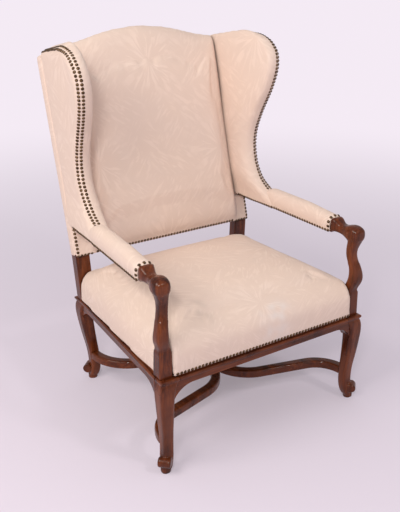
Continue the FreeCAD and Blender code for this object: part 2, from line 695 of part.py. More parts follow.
def back_form(shrink):
    """The upholstered inside back, pulled in by a cover thickness or more."""
    rear = -post_face - shrink
    front = canvas_face + BACK_PAD_SECTIONS[0][0] - shrink
    body = extruded(back_outline(BACK_PAD_HALF_WIDTH, 0.0, shrink, rear), Vector(0, rear - front, 0))
    wires = []
    for ahead, inset in BACK_PAD_SECTIONS:
        wires.append(back_outline(BACK_PAD_HALF_WIDTH, 0.0, shrink + inset, canvas_face + ahead - shrink))
    side_front = canvas_face + BACK_SIDE_FRONT - shrink
    side_x = BACK_HALF_WIDTH - shrink
    wide = back_box(-side_x, side_x, wing_rear, side_front, shrink, BACK_SIDE_TOP - shrink)
    front_plane = on_back(0, side_front, 0).y
    rounded = [edge for edge in wide.Edges if abs(edge.CenterOfMass.y - front_plane) < 0.01]
    wide = wide.makeFillet(BACK_SIDE_ROUND, rounded)
    return leaned(body.fuse([loft(wires), wide]).removeSplitter())


post_inner = BACK_HALF_WIDTH - COVER_THICKNESS - JOINT_CLEARANCE - POST_WIDTH
rail_reach = post_face + BACK_WEB_THICKNESS
back_outer = back_form(0.0)
back_inner = back_form(COVER_THICKNESS)
posts = [rear_posts, mirrored(rear_posts)]


def back_tenons(bottom, clearance):
    half = TENON_THICKNESS / 2 + clearance
    reach = post_inner + TENON_LENGTH + clearance
    top = bottom + TENON_HEIGHT + clearance
    return leaned(back_box(-reach, reach, -half, half, bottom - clearance, top))


lower_rail = leaned(back_box(-post_inner, post_inner, -post_face, rail_reach, BACK_RAIL_BOTTOM,
                             BACK_RAIL_BOTTOM + BACK_RAIL_HEIGHT))
crest_inset = COVER_THICKNESS + JOINT_CLEARANCE
crest_blank = extruded(back_outline(BACK_HALF_WIDTH, 0.0, crest_inset, -post_face),
                       Vector(0, -post_face - rail_reach, 0))
crest_start = CREST_SHOULDER - CREST_DEPTH
keep = back_box(-post_inner, post_inner, -post_face, rail_reach, crest_start, 2 * CREST_PEAK)
crest = leaned(crest_blank.common(keep))
lower_tenon = BACK_RAIL_BOTTOM + (BACK_RAIL_HEIGHT - TENON_HEIGHT) / 2
crest_tenon = crest_start + TENON_SHOULDER
back_mortises = [back_tenons(bottom, JOINT_CLEARANCE) for bottom in (lower_tenon, crest_tenon)]
rear_posts = biggest(rear_posts.cut(back_mortises))
nodes["lower_back_rail"] = lower_rail.fuse(back_tenons(lower_tenon, 0)).removeSplitter()
nodes["crest_rail"] = crest.fuse(back_tenons(crest_tenon, 0)).removeSplitter()
both_sides("rear_post", rear_posts)

web_bottom = BACK_RAIL_BOTTOM + BACK_RAIL_HEIGHT / 2
web_top = crest_start + CREST_DEPTH / 2
back_webs = []
post_web = post_inner + POST_WIDTH / 2
for index in range(BACK_WEBS_ACROSS):
    height = web_bottom + (web_top - web_bottom) * (index + 1) / (BACK_WEBS_ACROSS + 1)
    low = height - WEB_WIDTH / 2
    back_webs.append(back_box(-post_web, post_web, post_face, rail_reach, low, low + WEB_WIDTH))
for index in range(BACK_WEBS_UP):
    x = 2 * post_inner * ((index + 1) / (BACK_WEBS_UP + 1) - 0.5)
    half = WEB_WIDTH / 2
    web_face = rail_reach + BACK_WEB_THICKNESS
    back_webs.append(back_box(x - half, x + half, rail_reach, web_face, web_bottom, web_top))
back_webs = [leaned(web) for web in back_webs]
canvas_back = canvas_face - CANVAS_THICKNESS
canvas_half = BACK_PAD_HALF_WIDTH - 2 * COVER_THICKNESS
canvas_sheet = back_box(-canvas_half, canvas_half, canvas_back, canvas_face, BACK_RAIL_BOTTOM, web_top)
nodes["back_canvas"] = leaned(canvas_sheet)
behind_canvas = leaned(back_box(-far, far, -far, canvas_face, -far, far))
nodes["back_stuffing"] = biggest(back_inner.cut(behind_canvas))
back_frame = posts + back_webs + [nodes["lower_back_rail"], nodes["crest_rail"]]
nodes["back_cover"] = biggest(back_outer.cut([back_inner] + back_frame))


def outside_back():
    """The plain cloth behind the back, turned round the posts' outer sides."""
    near = -post_face - JOINT_CLEARANCE
    rear = near - COVER_THICKNESS
    low = OUTSIDE_BACK_BOTTOM
    outline = back_outline(BACK_HALF_WIDTH, low, 0.0, rear)
    panel = extruded(outline, Vector(0, -COVER_THICKNESS, 0))
    inside = BACK_HALF_WIDTH - COVER_THICKNESS
    wrap_front = wing_rear - JOINT_CLEARANCE
    side = back_box(inside, BACK_HALF_WIDTH, near, wrap_front, low, CREST_CORNER)
    slope = (CREST_SHOULDER - CREST_CORNER) / (BACK_HALF_WIDTH - BACK_PAD_HALF_WIDTH)
    lid_high = CREST_CORNER + slope * WING_REAR_THICKNESS
    lid = [on_back(wing_side, wrap_front, lid_high), on_back(BACK_HALF_WIDTH, wrap_front, CREST_CORNER)]
    lid += [corner - Z_AXIS * COVER_THICKNESS for corner in reversed(lid)]
    wrap = side.fuse(extruded(Part.makePolygon(lid + lid[:1]), Vector(0, wrap_front - near, 0)))
    return leaned(panel.fuse([wrap, mirrored(wrap)]).removeSplitter())


nodes["outside_back_cover"] = outside_back()


# Arm upholstery
def arm_form(shrink, bottom_shift):
    """The padded stretch of the arm: flat sides and a crowned top."""
    wires = []
    for y, half in ((rear_y, ARM_PAD_REAR_HALF_WIDTH), (pad_end_y, ARM_PAD_HALF_WIDTH)):
        x = arm_x(y)
        bottom = arm_bottom(y) + bottom_shift
        side = arm_bottom(y) + ARM_PAD_SIDE - shrink
        wide = half - shrink
        low = [Vector(x - wide, y, side), Vector(x - wide, y, bottom), Vector(x + wide, y, bottom),
               Vector(x + wide, y, side)]
        crown = Vector(x, y, side + ARM_PAD_CROWN)
        edges = Part.makePolygon(low).Edges + [Part.Arc(low[3], crown, low[0]).toShape()]
        wires.append(Part.Wire(edges))
    return loft(wires, True)


arm_outer = biggest(arm_form(0.0, 0.0).cut([behind_webs, back_outer]))
arm_hollow = arm_form(COVER_THICKNESS, -COVER_THICKNESS)
arm_fill = arm_form(COVER_THICKNESS, COVER_THICKNESS)
both_sides("arm_cover", biggest(arm_outer.cut(arm_hollow)))
both_sides("arm_stuffing", biggest(arm_fill.common(arm_outer).cut(arm_blank)))
arm_room = [arm_outer, mirrored(arm_outer), arm_blank, mirrored(arm_blank)]
nodes["back_webbing"] = Part.makeCompound([web.cut(arm_room) for web in back_webs])


# Wings
def wing_point(piece, x, reach):
    """A point in the sloping plane of one slice, before the back is leaned."""
    front_height, rear_height, front, flare, swell, drop = piece
    slope = (rear_height - front_height) / (front - wing_rear)
    fall = drop * (x - wing_side) / WING_REAR_THICKNESS
    return on_back(x, reach, front_height + slope * (front - reach) - fall)


def wing_form(shrink):
    """The upholstered wing as a loft through its sloping slices."""
    wires = []
    for index, piece in enumerate(WING_SLICES):
        reach, flare, swell = piece[2:5]
        sink = 0.0
        if index == 0:
            sink = COVER_THICKNESS if shrink else 0.0
        if index == len(WING_SLICES) - 1:
            sink = shrink
        front = reach - shrink
        edge_x = BACK_HALF_WIDTH + flare - shrink
        roll_x = BACK_HALF_WIDTH + flare - WING_EDGE_BAND + shrink
        inner_x = wing_side + shrink
        rear_outer = wing_point(piece, BACK_HALF_WIDTH - shrink, wing_rear - shrink)
        front_outer = wing_point(piece, edge_x, front - WING_EDGE_SETBACK)
        nose = wing_point(piece, (edge_x + roll_x) / 2, front)
        roll = wing_point(piece, roll_x, front - WING_ROLL_SETBACK)
        swollen = wing_point(piece, (roll_x + inner_x) / 2 - swell, (front + wing_rear) / 2)
        rear_inner = wing_point(piece, inner_x, wing_rear - shrink)
        edges = [
            Part.makeLine(rear_outer, front_outer),
            Part.Arc(front_outer, nose, roll).toShape(),
            Part.Arc(roll, swollen, rear_inner).toShape(),
            Part.makeLine(rear_inner, rear_outer),
        ]
        wire = Part.Wire(edges)
        wire.translate(Z_AXIS * -sink)
        wires.append(wire)
    return leaned(loft(wires))


def wing_upright():
    """The curved wooden upright just behind the wing's front edge."""
    wires = []
    for piece in WING_SLICES[1:-2]:
        reach, flare = piece[2:4]
        outer = BACK_HALF_WIDTH + flare - (WING_EDGE_BAND - WING_FRAME_THICKNESS) / 2
        corners = []
        for x, back_by in ((outer, 0), (outer - WING_FRAME_THICKNESS, 0),
                           (outer - WING_FRAME_THICKNESS, WING_FRAME_DEPTH), (outer, WING_FRAME_DEPTH)):
            corners.append(wing_point(piece, x, reach - WING_FRAME_COVER - back_by))
        wires.append(Part.makePolygon(corners + corners[:1]))
    return leaned(loft(wires))


def wing_top_rail():
    """The rail from the post to the top of the upright."""
    front_height, rear_height, reach, flare, swell, drop = WING_SLICES[-3]
    wires = []
    inset = (WING_EDGE_BAND - WING_FRAME_THICKNESS) / 2
    ends = [(wing_rear, rear_height, 0.0), (reach - WING_FRAME_COVER, front_height, flare)]
    for at, height, out in ends:
        outer = BACK_HALF_WIDTH - inset + out
        top = height - WING_FRAME_COVER - drop
        low = top - WING_RAIL_HEIGHT
        corners = [on_back(outer, at, top), on_back(outer - WING_FRAME_THICKNESS, at, top),
                   on_back(outer - WING_FRAME_THICKNESS, at, low), on_back(outer, at, low)]
        wires.append(Part.makePolygon(corners + corners[:1]))
    return leaned(loft(wires, True))


wing_outer = biggest(wing_form(0.0).cut([back_outer, arm_form(0.0, 0.0)]))
wing_inner = wing_form(COVER_THICKNESS)
upright = biggest(wing_upright().common(wing_inner).cut(arm_outer))
top_rail = biggest(wing_top_rail().common(wing_inner).cut(upright))
both_sides("wing_upright", upright)
both_sides("wing_top_rail", top_rail)
both_sides("wing_cover", biggest(wing_outer.cut(wing_inner)))
both_sides("wing_stuffing", biggest(wing_inner.common(wing_outer).cut([upright, top_rail])))


# Sprung seat
def seat_form(shrink, lowest):
    """The domed seat: rounded plans of the seat frame, smaller as they rise."""
    wires = []
    for rise, inset in SEAT_SECTIONS:
        edge = SEAT_EDGE + inset + shrink
        rear_edge = SEAT_REAR_EDGE + inset + min(inset, SEAT_REAR_FALL) + shrink
        z = LEDGE_HEIGHT + (rise - shrink if rise > SEAT_SECTIONS[0][0] else lowest)
        corners = [
            Vector(front_half - edge, front_y + edge, z), Vector(rear_half - edge, rear_y - rear_edge, z),
            Vector(edge - rear_half, rear_y - rear_edge, z), Vector(edge - front_half, front_y + edge, z),
        ]
        wires.append(rounded_polygon(corners, SEAT_CORNER_RADIUS))
    return loft(wires)


seat_outer = seat_form(0.0, NAIL_SEAT).cut(seat_notches(NOTCH_CLEARANCE))
hollow_notches = seat_notches(NOTCH_CLEARANCE + COVER_THICKNESS)
seat_hollow = seat_form(COVER_THICKNESS, -COVER_THICKNESS).cut(hollow_notches)
nodes["seat_cover"] = biggest(seat_outer.cut([seat_hollow] + all_rails))


def canvas_form(drop):
    """The spring canvas: tacked to the rails, lifted in the middle by springs."""
    wires = []
    edge = LEDGE_OVERHANG + (RAIL_REBATE + RAIL_THICKNESS) / 2
    for rise, inset in ((0.0, 0.0), (CANVAS_RISE, CANVAS_SLOPE)):
        out = edge + inset + drop
        z = rail_top + rise - drop
        corners = [
            Vector(front_half - out, front_y + out, z), Vector(rear_half - out, rear_y - out, z),
            Vector(out - rear_half, rear_y - out, z), Vector(out - front_half, front_y + out, z),
        ]
        wires.append(Part.makePolygon(corners + corners[:1]))
    return loft(wires, True)


canvas_solid = biggest(canvas_form(0.0).cut(all_legs + hollow_notches))
canvas = biggest(canvas_solid.cut(canvas_form(CANVAS_THICKNESS)))
nodes["seat_canvas"] = canvas
below_rail = box(-far, far, -far, far, 0, rail_top)
seat_fill = seat_hollow.cut([canvas_solid, below_rail] + all_rails)
nodes["seat_stuffing"] = biggest(seat_fill)

web_z = rail_bottom - WEB_THICKNESS
webs = []
reach_y = rear_y - LEDGE_OVERHANG - RAIL_THICKNESS / 2
web_inset = BRACKET_RUN - RAIL_LAP + WEB_WIDTH / 2
span_x = 2 * (rear_inner - web_inset)
span_y = 2 * (rear_leg.y - half_block - web_inset)
for index in range(SEAT_WEBS_ALONG):
    x = span_x * (index / (SEAT_WEBS_ALONG - 1) - 0.5)
    webs.append(box(x - WEB_WIDTH / 2, x + WEB_WIDTH / 2, -reach_y, reach_y, web_z, rail_bottom))
for index in range(SEAT_WEBS_ACROSS):
    y = span_y * (index / (SEAT_WEBS_ACROSS - 1) - 0.5)
    reach_x = front_side + (rear_side - front_side) * (y - front_y) / SEAT_DEPTH - RAIL_THICKNESS / 2
    webs.append(box(-reach_x, reach_x, y - WEB_WIDTH / 2, y + WEB_WIDTH / 2, web_z - WEB_THICKNESS, web_z))
nodes["seat_webbing"] = Part.makeCompound(webs)


def spring(x, y):
    """One waisted seat spring as a plain turned solid."""
    top = rail_top + CANVAS_RISE - CANVAS_THICKNESS
    half = (top - rail_bottom) / 2
    low = Vector(SPRING_END_RADIUS, 0, 0)
    waist = Vector(SPRING_WAIST_RADIUS, 0, half)
    high = Vector(SPRING_END_RADIUS, 0, 2 * half)
    edges = [Part.Arc(low, waist, high).toShape()]
    edges += Part.makePolygon([high, Vector(0, 0, 2 * half), ORIGIN, low]).Edges
    solid = Part.Face(Part.Wire(edges)).revolve(ORIGIN, Z_AXIS, 360)
    solid.translate(Vector(x, y, rail_bottom))
    return solid


springs = []
for column in range(SPRING_COLUMNS):
    for row in range(SPRING_ROWS):
        x = SPRING_PITCH_X * (column - (SPRING_COLUMNS - 1) / 2)
        y = SPRING_PITCH_Y * (row - (SPRING_ROWS - 1) / 2)
        springs.append(spring(x, y))
nodes["seat_springs"] = Part.makeCompound(springs)


# Dome-headed nails
def nail(point, outward):
    half = NAIL_DIAMETER / 2
    radius = (half ** 2 + NAIL_RISE ** 2) / (2 * NAIL_RISE)
    rim = math.degrees(math.asin((radius - NAIL_RISE) / radius))
    centre = point - outward * (radius - NAIL_RISE - NAIL_SEAT)
    return Part.makeSphere(radius, centre, outward, rim, 90, 360)


def along(points):
    """Evenly spaced places along a smooth line through the points."""
    line = Part.BSplineCurve()
    line.interpolate(points)
    edge = line.toShape()
    count = max(2, round(edge.Length / NAIL_PITCH) + 1)
    return edge.discretize(Number=count)


def nails_on(cover, points, outward):
    """A row of nails set on a cover, each square to the face under it.

    Outward gives the way a nail on an edge points, for the place it is at.
    A place where another piece covers the cloth gets no nail.
    """
    row = []
    skin = cover.Shells[0]
    for place in along(points):
        distance, pairs, contacts = Part.Vertex(place).distToShape(skin)
        if distance > NAIL_RISE:
            continue
        kind, number, where = contacts[0][3:6]
        square = outward(place)
        if kind == "Face":
            normal = skin.Faces[number].normalAt(*where)
            square = normal if normal.dot(square) > 0 else -normal
        row.append(nail(pairs[0][1], square))
    return row


seat_front = front_y + SEAT_EDGE
nail_z = LEDGE_HEIGHT + NAIL_EDGE
seat_span = support_foot.x - SUPPORT_BLOCK_HALF_WIDTH - NOTCH_CLEARANCE - NAIL_EDGE
front_row = [Vector(x, seat_front, nail_z) for x in (-seat_span, 0, seat_span)]
nodes["seat_nails"] = Part.makeCompound(nails_on(seat_outer, front_row, lambda place: -Y_AXIS))


def leaned_point(x, reach, height):
    return leaned(Part.Vertex(on_back(x, reach, height))).Point


side_face = canvas_face + BACK_SIDE_FRONT
angle = math.radians(BACK_LEAN)
back_normal = Vector(0, -math.cos(angle), math.sin(angle))


def back_way(place):
    return back_normal


pad_ahead, pad_low = BACK_PAD_SECTIONS[1]
pad_face = canvas_face + pad_ahead
edge_x = BACK_HALF_WIDTH - NAIL_EDGE
pad_edge = BACK_PAD_HALF_WIDTH - 2 * NAIL_EDGE
wide_start = BACK_PAD_HALF_WIDTH + NAIL_EDGE
pad_row = [leaned_point(x, pad_face, pad_low) for x in (-pad_edge, 0, pad_edge)]
back_nails = nails_on(back_outer, pad_row, back_way)
heights = (NAIL_EDGE + NAIL_PITCH, BACK_SIDE_TOP / 2, BACK_SIDE_TOP - NAIL_EDGE)
for side in (-1, 1):
    level = [leaned_point(side * x, side_face, NAIL_EDGE) for x in (wide_start, edge_x)]
    rise = [leaned_point(side * edge_x, side_face, height) for height in heights]
    back_nails += nails_on(back_outer, level, back_way) + nails_on(back_outer, rise, back_way)
nodes["back_nails"] = Part.makeCompound(back_nails)


def on_band(piece, inset):
    """A point on a slice's rolled front, a given distance in from its outer side."""
    share = inset / WING_EDGE_BAND
    setback = 2 * (share - 0.5) * (WING_EDGE_SETBACK * (share - 1) + WING_ROLL_SETBACK * share)
    return leaned(Part.Vertex(wing_point(piece, BACK_HALF_WIDTH + piece[3] - inset, piece[2] - setback))).Point


wing_rows = []
top_slice = WING_SLICES[-1]
for inset in (NAIL_EDGE, NAIL_EDGE + NAIL_PITCH):
    line = [on_band(piece, inset) for piece in WING_SLICES]
    for share in (0.5, 0.05):
        x = BACK_HALF_WIDTH + share * top_slice[3] - inset
        place = wing_point(top_slice, x, wing_rear + share * (top_slice[2] - wing_rear))
        line.append(leaned(Part.Vertex(place)).Point)
    wing_rows += nails_on(wing_outer, line, back_way)
both_sides("wing_nails", Part.makeCompound(wing_rows))

arm_rows = []
arm_rear_y = bend.y - canvas_face - BACK_SIDE_FRONT - NAIL_PITCH
for side in (-1, 1):
    ends = []
    for y in (arm_rear_y, pad_end_y + NAIL_EDGE):
        half = ARM_PAD_REAR_HALF_WIDTH + (ARM_PAD_HALF_WIDTH - ARM_PAD_REAR_HALF_WIDTH) * arm_share(y)
        ends.append(Vector(arm_x(y) + side * half, y, arm_bottom(y) + NAIL_EDGE))
    line = [ends[0], (ends[0] + ends[1]) * 0.5, ends[1]]
    arm_rows += nails_on(arm_outer, line, lambda place: X_AXIS * side)
y = pad_end_y + NAIL_EDGE
side_z = arm_bottom(y) + ARM_PAD_SIDE
collar = [Vector(arm_x(y) - ARM_PAD_HALF_WIDTH, y, side_z - NAIL_EDGE),
          Vector(arm_x(y), y, side_z + ARM_PAD_CROWN),
          Vector(arm_x(y) + ARM_PAD_HALF_WIDTH, y, side_z - NAIL_EDGE)]
collar_middle = Vector(arm_x(y), y, side_z - ARM_PAD_HALF_WIDTH)
arm_rows += nails_on(arm_outer, collar, lambda place: (place - collar_middle).normalize())
both_sides("arm_nails", Part.makeCompound(arm_rows))

# The origin goes to the floor under the middle of the overall box
whole = Part.makeCompound(list(nodes.values())).optimalBoundingBox(False, False)
shift = Vector(-(whole.XMin + whole.XMax) / 2, -(whole.YMin + whole.YMax) / 2, -whole.ZMin)
print("overall %.1f x %.1f x %.1f mm" % (whole.XLength, whole.YLength, whole.ZLength))
print("moved by y %.2f mm" % shift.y)
os.makedirs("parts", exist_ok=True)
for name, shape in nodes.items():
    placed = shape.copy()
    placed.translate(shift)
    print(name, len(placed.Solids), placed.isValid(), round(placed.Volume))
    placed.exportStep("parts/%s.step" % name)
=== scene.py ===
# %% [markdown]
# # An open-arm wing chair, dressed for a photograph
# The real chair is a polished frame of dark red-brown wood with a sprung seat, a tall leaning back, two
# wings and two padded arms, all covered in one cream figured cloth and edged with domed nails. The frame
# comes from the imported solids, so it is already the right size. This lesson gives it cloth that looks
# stuffed, softened carving, woven webbing, coiled springs and finishes with grain, weave and wear.

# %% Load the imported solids
import math
from functools import partial

import bmesh
import bpy
from mathutils import Matrix, Vector, noise
from mathutils.bvhtree import BVHTree


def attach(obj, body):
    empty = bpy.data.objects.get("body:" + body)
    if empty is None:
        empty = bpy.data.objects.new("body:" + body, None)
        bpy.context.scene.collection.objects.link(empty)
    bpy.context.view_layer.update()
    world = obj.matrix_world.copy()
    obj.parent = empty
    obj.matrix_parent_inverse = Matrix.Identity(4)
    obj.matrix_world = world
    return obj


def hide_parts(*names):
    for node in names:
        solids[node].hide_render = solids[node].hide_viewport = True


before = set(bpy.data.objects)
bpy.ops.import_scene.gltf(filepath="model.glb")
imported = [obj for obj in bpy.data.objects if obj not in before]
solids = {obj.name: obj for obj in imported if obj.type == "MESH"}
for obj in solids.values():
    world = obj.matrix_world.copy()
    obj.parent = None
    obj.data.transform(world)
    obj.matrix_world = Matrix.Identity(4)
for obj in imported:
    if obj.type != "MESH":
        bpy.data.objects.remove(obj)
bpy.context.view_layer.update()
scene = bpy.context.scene

# %% [markdown]
# ## Camera and studio
# The photograph looks down on the chair from its front left with a fairly long lens. The place and the lens
# below were fitted to the chair's corners in the picture. The sensor's 36 mm lie along the long, upright
# side of the frame. The floor is one very large pale sheet. Part of what the camera sees of it is its own
# colour, more of it further away, which keeps the far floor pale. The rest is lit, which keeps the chair's
# shadow.

# %% Camera
SENSOR = 36.0
LENS = 51.97
CAMERA_PLACE = (-1.199, -1.8404, 1.360)
CAMERA_AIM = (0.0, -0.0199, 0.4548)


def turned_to(place, aim):
    """The turn of a camera or a lamp that points from one place to another."""
    return (Vector(aim) - Vector(place)).to_track_quat("-Z", "Y").to_euler()


eye = bpy.data.cameras.new("photo_camera")
eye.sensor_width = SENSOR
eye.lens = LENS
camera = bpy.data.objects.new("photo_camera", eye)
scene.collection.objects.link(camera)
camera.location = CAMERA_PLACE
camera.rotation_euler = turned_to(CAMERA_PLACE, CAMERA_AIM)
scene.camera = camera
scene.view_settings.view_transform = "Standard"
print("camera", [round(c, 3) for c in camera.location], "lens", eye.lens)


# %% Short words for node trees
def plug(tree, node, inputs):
    """Fills a node's inputs with values or links."""
    for key, value in inputs.items():
        socket = node.inputs[key]
        if isinstance(value, bpy.types.NodeSocket):
            tree.links.new(value, socket)
        elif socket.type == "RGBA" and len(value) == 3:
            socket.default_value = (*value, 1.0)
        else:
            socket.default_value = value


def add_node(tree, kind, inputs=None, **settings):
    """Adds a node, sets its settings, and fills its inputs."""
    made = tree.nodes.new(kind)
    for name, value in settings.items():
        setattr(made, name, value)
    plug(tree, made, inputs or {})
    return made


def calc(tree, operation, a, b=0.0, c=0.0):
    """One Math node."""
    return add_node(tree, "ShaderNodeMath", {0: a, 1: b, 2: c}, operation=operation).outputs[0]


def spread(tree, value, low, high, to_low=0.0, to_high=1.0):
    """A value from one range smoothly mapped to another."""
    names = {"Value": value, "From Min": low, "From Max": high, "To Min": to_low, "To Max": to_high}
    return add_node(tree, "ShaderNodeMapRange", names, interpolation_type="SMOOTHSTEP").outputs[0]


def mix_colour(tree, factor, a, b):
    """One colour mixed with another."""
    return add_node(tree, "ShaderNodeMix", {0: factor, 6: a, 7: b}, data_type="RGBA").outputs[2]


def cloudy(tree, place, scale, detail, rough=0.5, distortion=0.0):
    """Noise at a place."""
    inputs = {"Vector": place, "Scale": scale, "Detail": detail, "Roughness": rough, "Distortion": distortion}
    return add_node(tree, "ShaderNodeTexNoise", inputs).outputs[0]


def object_place(tree):
    """Where a point lies in the chair, in metres."""
    return add_node(tree, "ShaderNodeTexCoord").outputs["Object"]


def raised(tree, height, strength, distance):
    """A bump for a shader's normal."""
    inputs = {"Strength": strength, "Distance": distance, "Height": height}
    return add_node(tree, "ShaderNodeBump", inputs).outputs[0]


def new_group(name, place, numbers, outputs):
    """An empty shader group with named sockets; returns the tree, its input node and its output node."""
    tree = bpy.data.node_groups.new(name, "ShaderNodeTree")
    tree.interface.new_socket(place, in_out="INPUT", socket_type="NodeSocketVector")
    for label, value in numbers.items():
        socket = tree.interface.new_socket(label, in_out="INPUT", socket_type="NodeSocketFloat")
        socket.default_value = value
    for label in outputs:
        tree.interface.new_socket(label, in_out="OUTPUT", socket_type="NodeSocketFloat")
    return tree, tree.nodes.new("NodeGroupInput"), tree.nodes.new("NodeGroupOutput")


def new_material(name):
    """A material with an empty tree, its Principled shader and its output joined."""
    made = bpy.data.materials.new(name)
    made.use_nodes = True
    tree = made.node_tree
    tree.nodes.clear()
    shader = tree.nodes.new("ShaderNodeBsdfPrincipled")
    add_node(tree, "ShaderNodeOutputMaterial", {"Surface": shader.outputs[0]})
    return made, tree, shader


def new_object(name, bm):
    """An object in the scene, made of a bmesh."""
    mesh = bpy.data.meshes.new(name)
    bm.to_mesh(mesh)
    bm.free()
    made = bpy.data.objects.new(name, mesh)
    scene.collection.objects.link(made)
    return made


# %% Floor and backdrop
PALE = (0.925, 0.845, 0.925)
FLOOR_TONE = (0.735, 0.655, 0.75)
FLOOR_SIZE = 40.0
NEAR, FAR = 0.3, 4.2
GLOW_NEAR, GLOW_FAR = 0.22, 0.97
SKY_TONE = (0.93, 0.91, 0.94)
SKY_STRENGTH = 0.52

floor_finish, tree, shader = new_material("studio_floor")
plug(tree, shader, {"Base Color": FLOOR_TONE, "Roughness": 0.9, "Specular IOR Level": 0.1})
glow = add_node(tree, "ShaderNodeEmission", {"Color": PALE, "Strength": 1.0})
path = add_node(tree, "ShaderNodeLightPath")
seen = calc(tree, "MAXIMUM", path.outputs["Is Camera Ray"], path.outputs["Is Glossy Ray"])
away = add_node(tree, "ShaderNodeVectorMath", {0: object_place(tree)}, operation="LENGTH").outputs["Value"]
share = calc(tree, "MULTIPLY", seen, spread(tree, away, NEAR, FAR, GLOW_NEAR, GLOW_FAR))
blend = add_node(tree, "ShaderNodeMixShader", {0: share, 1: shader.outputs[0], 2: glow.outputs[0]})
plug(tree, tree.nodes["Material Output"], {"Surface": blend.outputs[0]})

bm = bmesh.new()
bmesh.ops.create_grid(bm, x_segments=1, y_segments=1, size=FLOOR_SIZE)
floor = new_object("floor", bm)
floor.data.materials.append(floor_finish)

world = bpy.data.worlds.new("studio")
scene.world = world
world.use_nodes = True
tree = world.node_tree
tree.nodes.clear()
path = add_node(tree, "ShaderNodeLightPath")
lit = add_node(tree, "ShaderNodeBackground", {"Color": SKY_TONE, "Strength": SKY_STRENGTH})
shown = add_node(tree, "ShaderNodeBackground", {"Color": PALE, "Strength": 1.0})
direct = calc(tree, "MAXIMUM", path.outputs["Is Camera Ray"], path.outputs["Is Transmission Ray"])
both = add_node(tree, "ShaderNodeMixShader", {0: direct, 1: lit.outputs[0], 2: shown.outputs[0]})
add_node(tree, "ShaderNodeOutputWorld", {"Surface": both.outputs[0]})
print("floor and backdrop:", floor.name, world.name)

# %% Lamps
LAMPS = (
    ("key_left", (-2.15, -0.3, 2.3), (0.0, 0.0, 0.8), 1.4, 35.0, (1.0, 0.96, 0.88)),
    ("front_high_left", (-2.0, -2.4, 2.5), (0.0, -0.1, 0.6), 0.55, 40.0, (1.0, 0.975, 0.95)),
    ("front_high_right", (0.9, -2.9, 3.1), (0.0, -0.1, 0.5), 0.45, 22.0, (1.0, 0.97, 0.95)),
)
for name, place, aim, size, watts, colour in LAMPS:
    lamp = bpy.data.lights.new(name, "AREA")
    lamp.size = size
    lamp.energy = watts
    lamp.color = colour
    stand = bpy.data.objects.new(name, lamp)
    scene.collection.objects.link(stand)
    stand.location = place
    stand.rotation_euler = turned_to(place, aim)

# %% [markdown]
# ## The figured cloth
# The cover is a cream damask: one colour of yarn, woven dull in the ground and glossy in the figure, so the
# pattern shows only as a slight change of tone. Its motif is a burst of thin fronds, repeated in a half-
# drop, with slanting leaf strokes between. An image could carry the pattern, but a formula stays sharp at
# any size. The group below works in the cloth's own flat coordinates, in metres, which every padded piece
# keeps in an attribute named cloth.

# %% Damask figure
STAR_WIDE = 0.46
STAR_TALL = 0.60
STAR_LEVEL = 0.37
STAR_EYE = (0.004, 0.02)
STAR_REACH = (0.15, 0.06)
FRONDS_ROUND = 5.5
FRONDS_OUT = 16.0
FROND_EDGE = (0.48, 0.60)
STROKES_ALONG = 22.0
STROKES_ACROSS = 105.0
STROKE_EDGE = (0.50, 0.62)
YARNS_ACROSS = 5200.0
YARNS_ALONG = 3900.0

damask, inside, outside = new_group("damask_figure", "Cloth", {}, ("Figure", "Yarn"))
flat = add_node(damask, "ShaderNodeSeparateXYZ", {0: inside.outputs[0]})
flat_u, flat_v = flat.outputs[0], flat.outputs[1]
times = partial(calc, damask, "MULTIPLY")
plus = partial(calc, damask, "ADD")
minus = partial(calc, damask, "SUBTRACT")
over = partial(calc, damask, "DIVIDE")
larger = partial(calc, damask, "MAXIMUM")
times_plus = partial(calc, damask, "MULTIPLY_ADD")
fade = partial(spread, damask)
sway = minus(cloudy(damask, inside.outputs[0], scale=24.0, detail=3.0), 0.5)


def from_middle(place, repeat, shift):
    """How far a point lies from the middle of its repeat."""
    return times(minus(calc(damask, "FRACT", plus(over(place, repeat), shift)), 0.5), repeat)


def frond_star(shift_u, shift_v):
    """A mask of thin, uneven fronds round every lattice point, and a mask of what lies outside them."""
    across = from_middle(flat_u, STAR_WIDE, shift_u)
    up = from_middle(flat_v, STAR_TALL, shift_v)
    radius = calc(damask, "SQRT", plus(times(across, across), times(up, up)))
    round_u = times(over(across, radius), FRONDS_ROUND)
    round_v = times(over(up, radius), FRONDS_ROUND)
    polar = add_node(damask, "ShaderNodeCombineXYZ", {0: round_u, 1: round_v, 2: times(radius, FRONDS_OUT)})
    blade = fade(cloudy(damask, polar.outputs[0], scale=1.0, detail=1.0, distortion=0.5), *FROND_EDGE)
    end = times_plus(sway, 0.20, radius)
    ring = times(fade(radius, *STAR_EYE), fade(end, *STAR_REACH))
    return times(blade, ring), fade(end, 0.08, 0.15)


def leaf_strokes(lean):
    """Thin, uneven strokes that all lean one way."""
    c, s = math.cos(lean), math.sin(lean)
    along = times(plus(times(flat_u, c), times(flat_v, s)), STROKES_ALONG)
    across = times_plus(minus(times(flat_v, c), times(flat_u, s)), STROKES_ACROSS, sway)
    drawn = add_node(damask, "ShaderNodeCombineXYZ", {0: along, 1: across})
    return fade(cloudy(damask, drawn.outputs[0], scale=1.0, detail=1.0, distortion=0.7), *STROKE_EDGE)


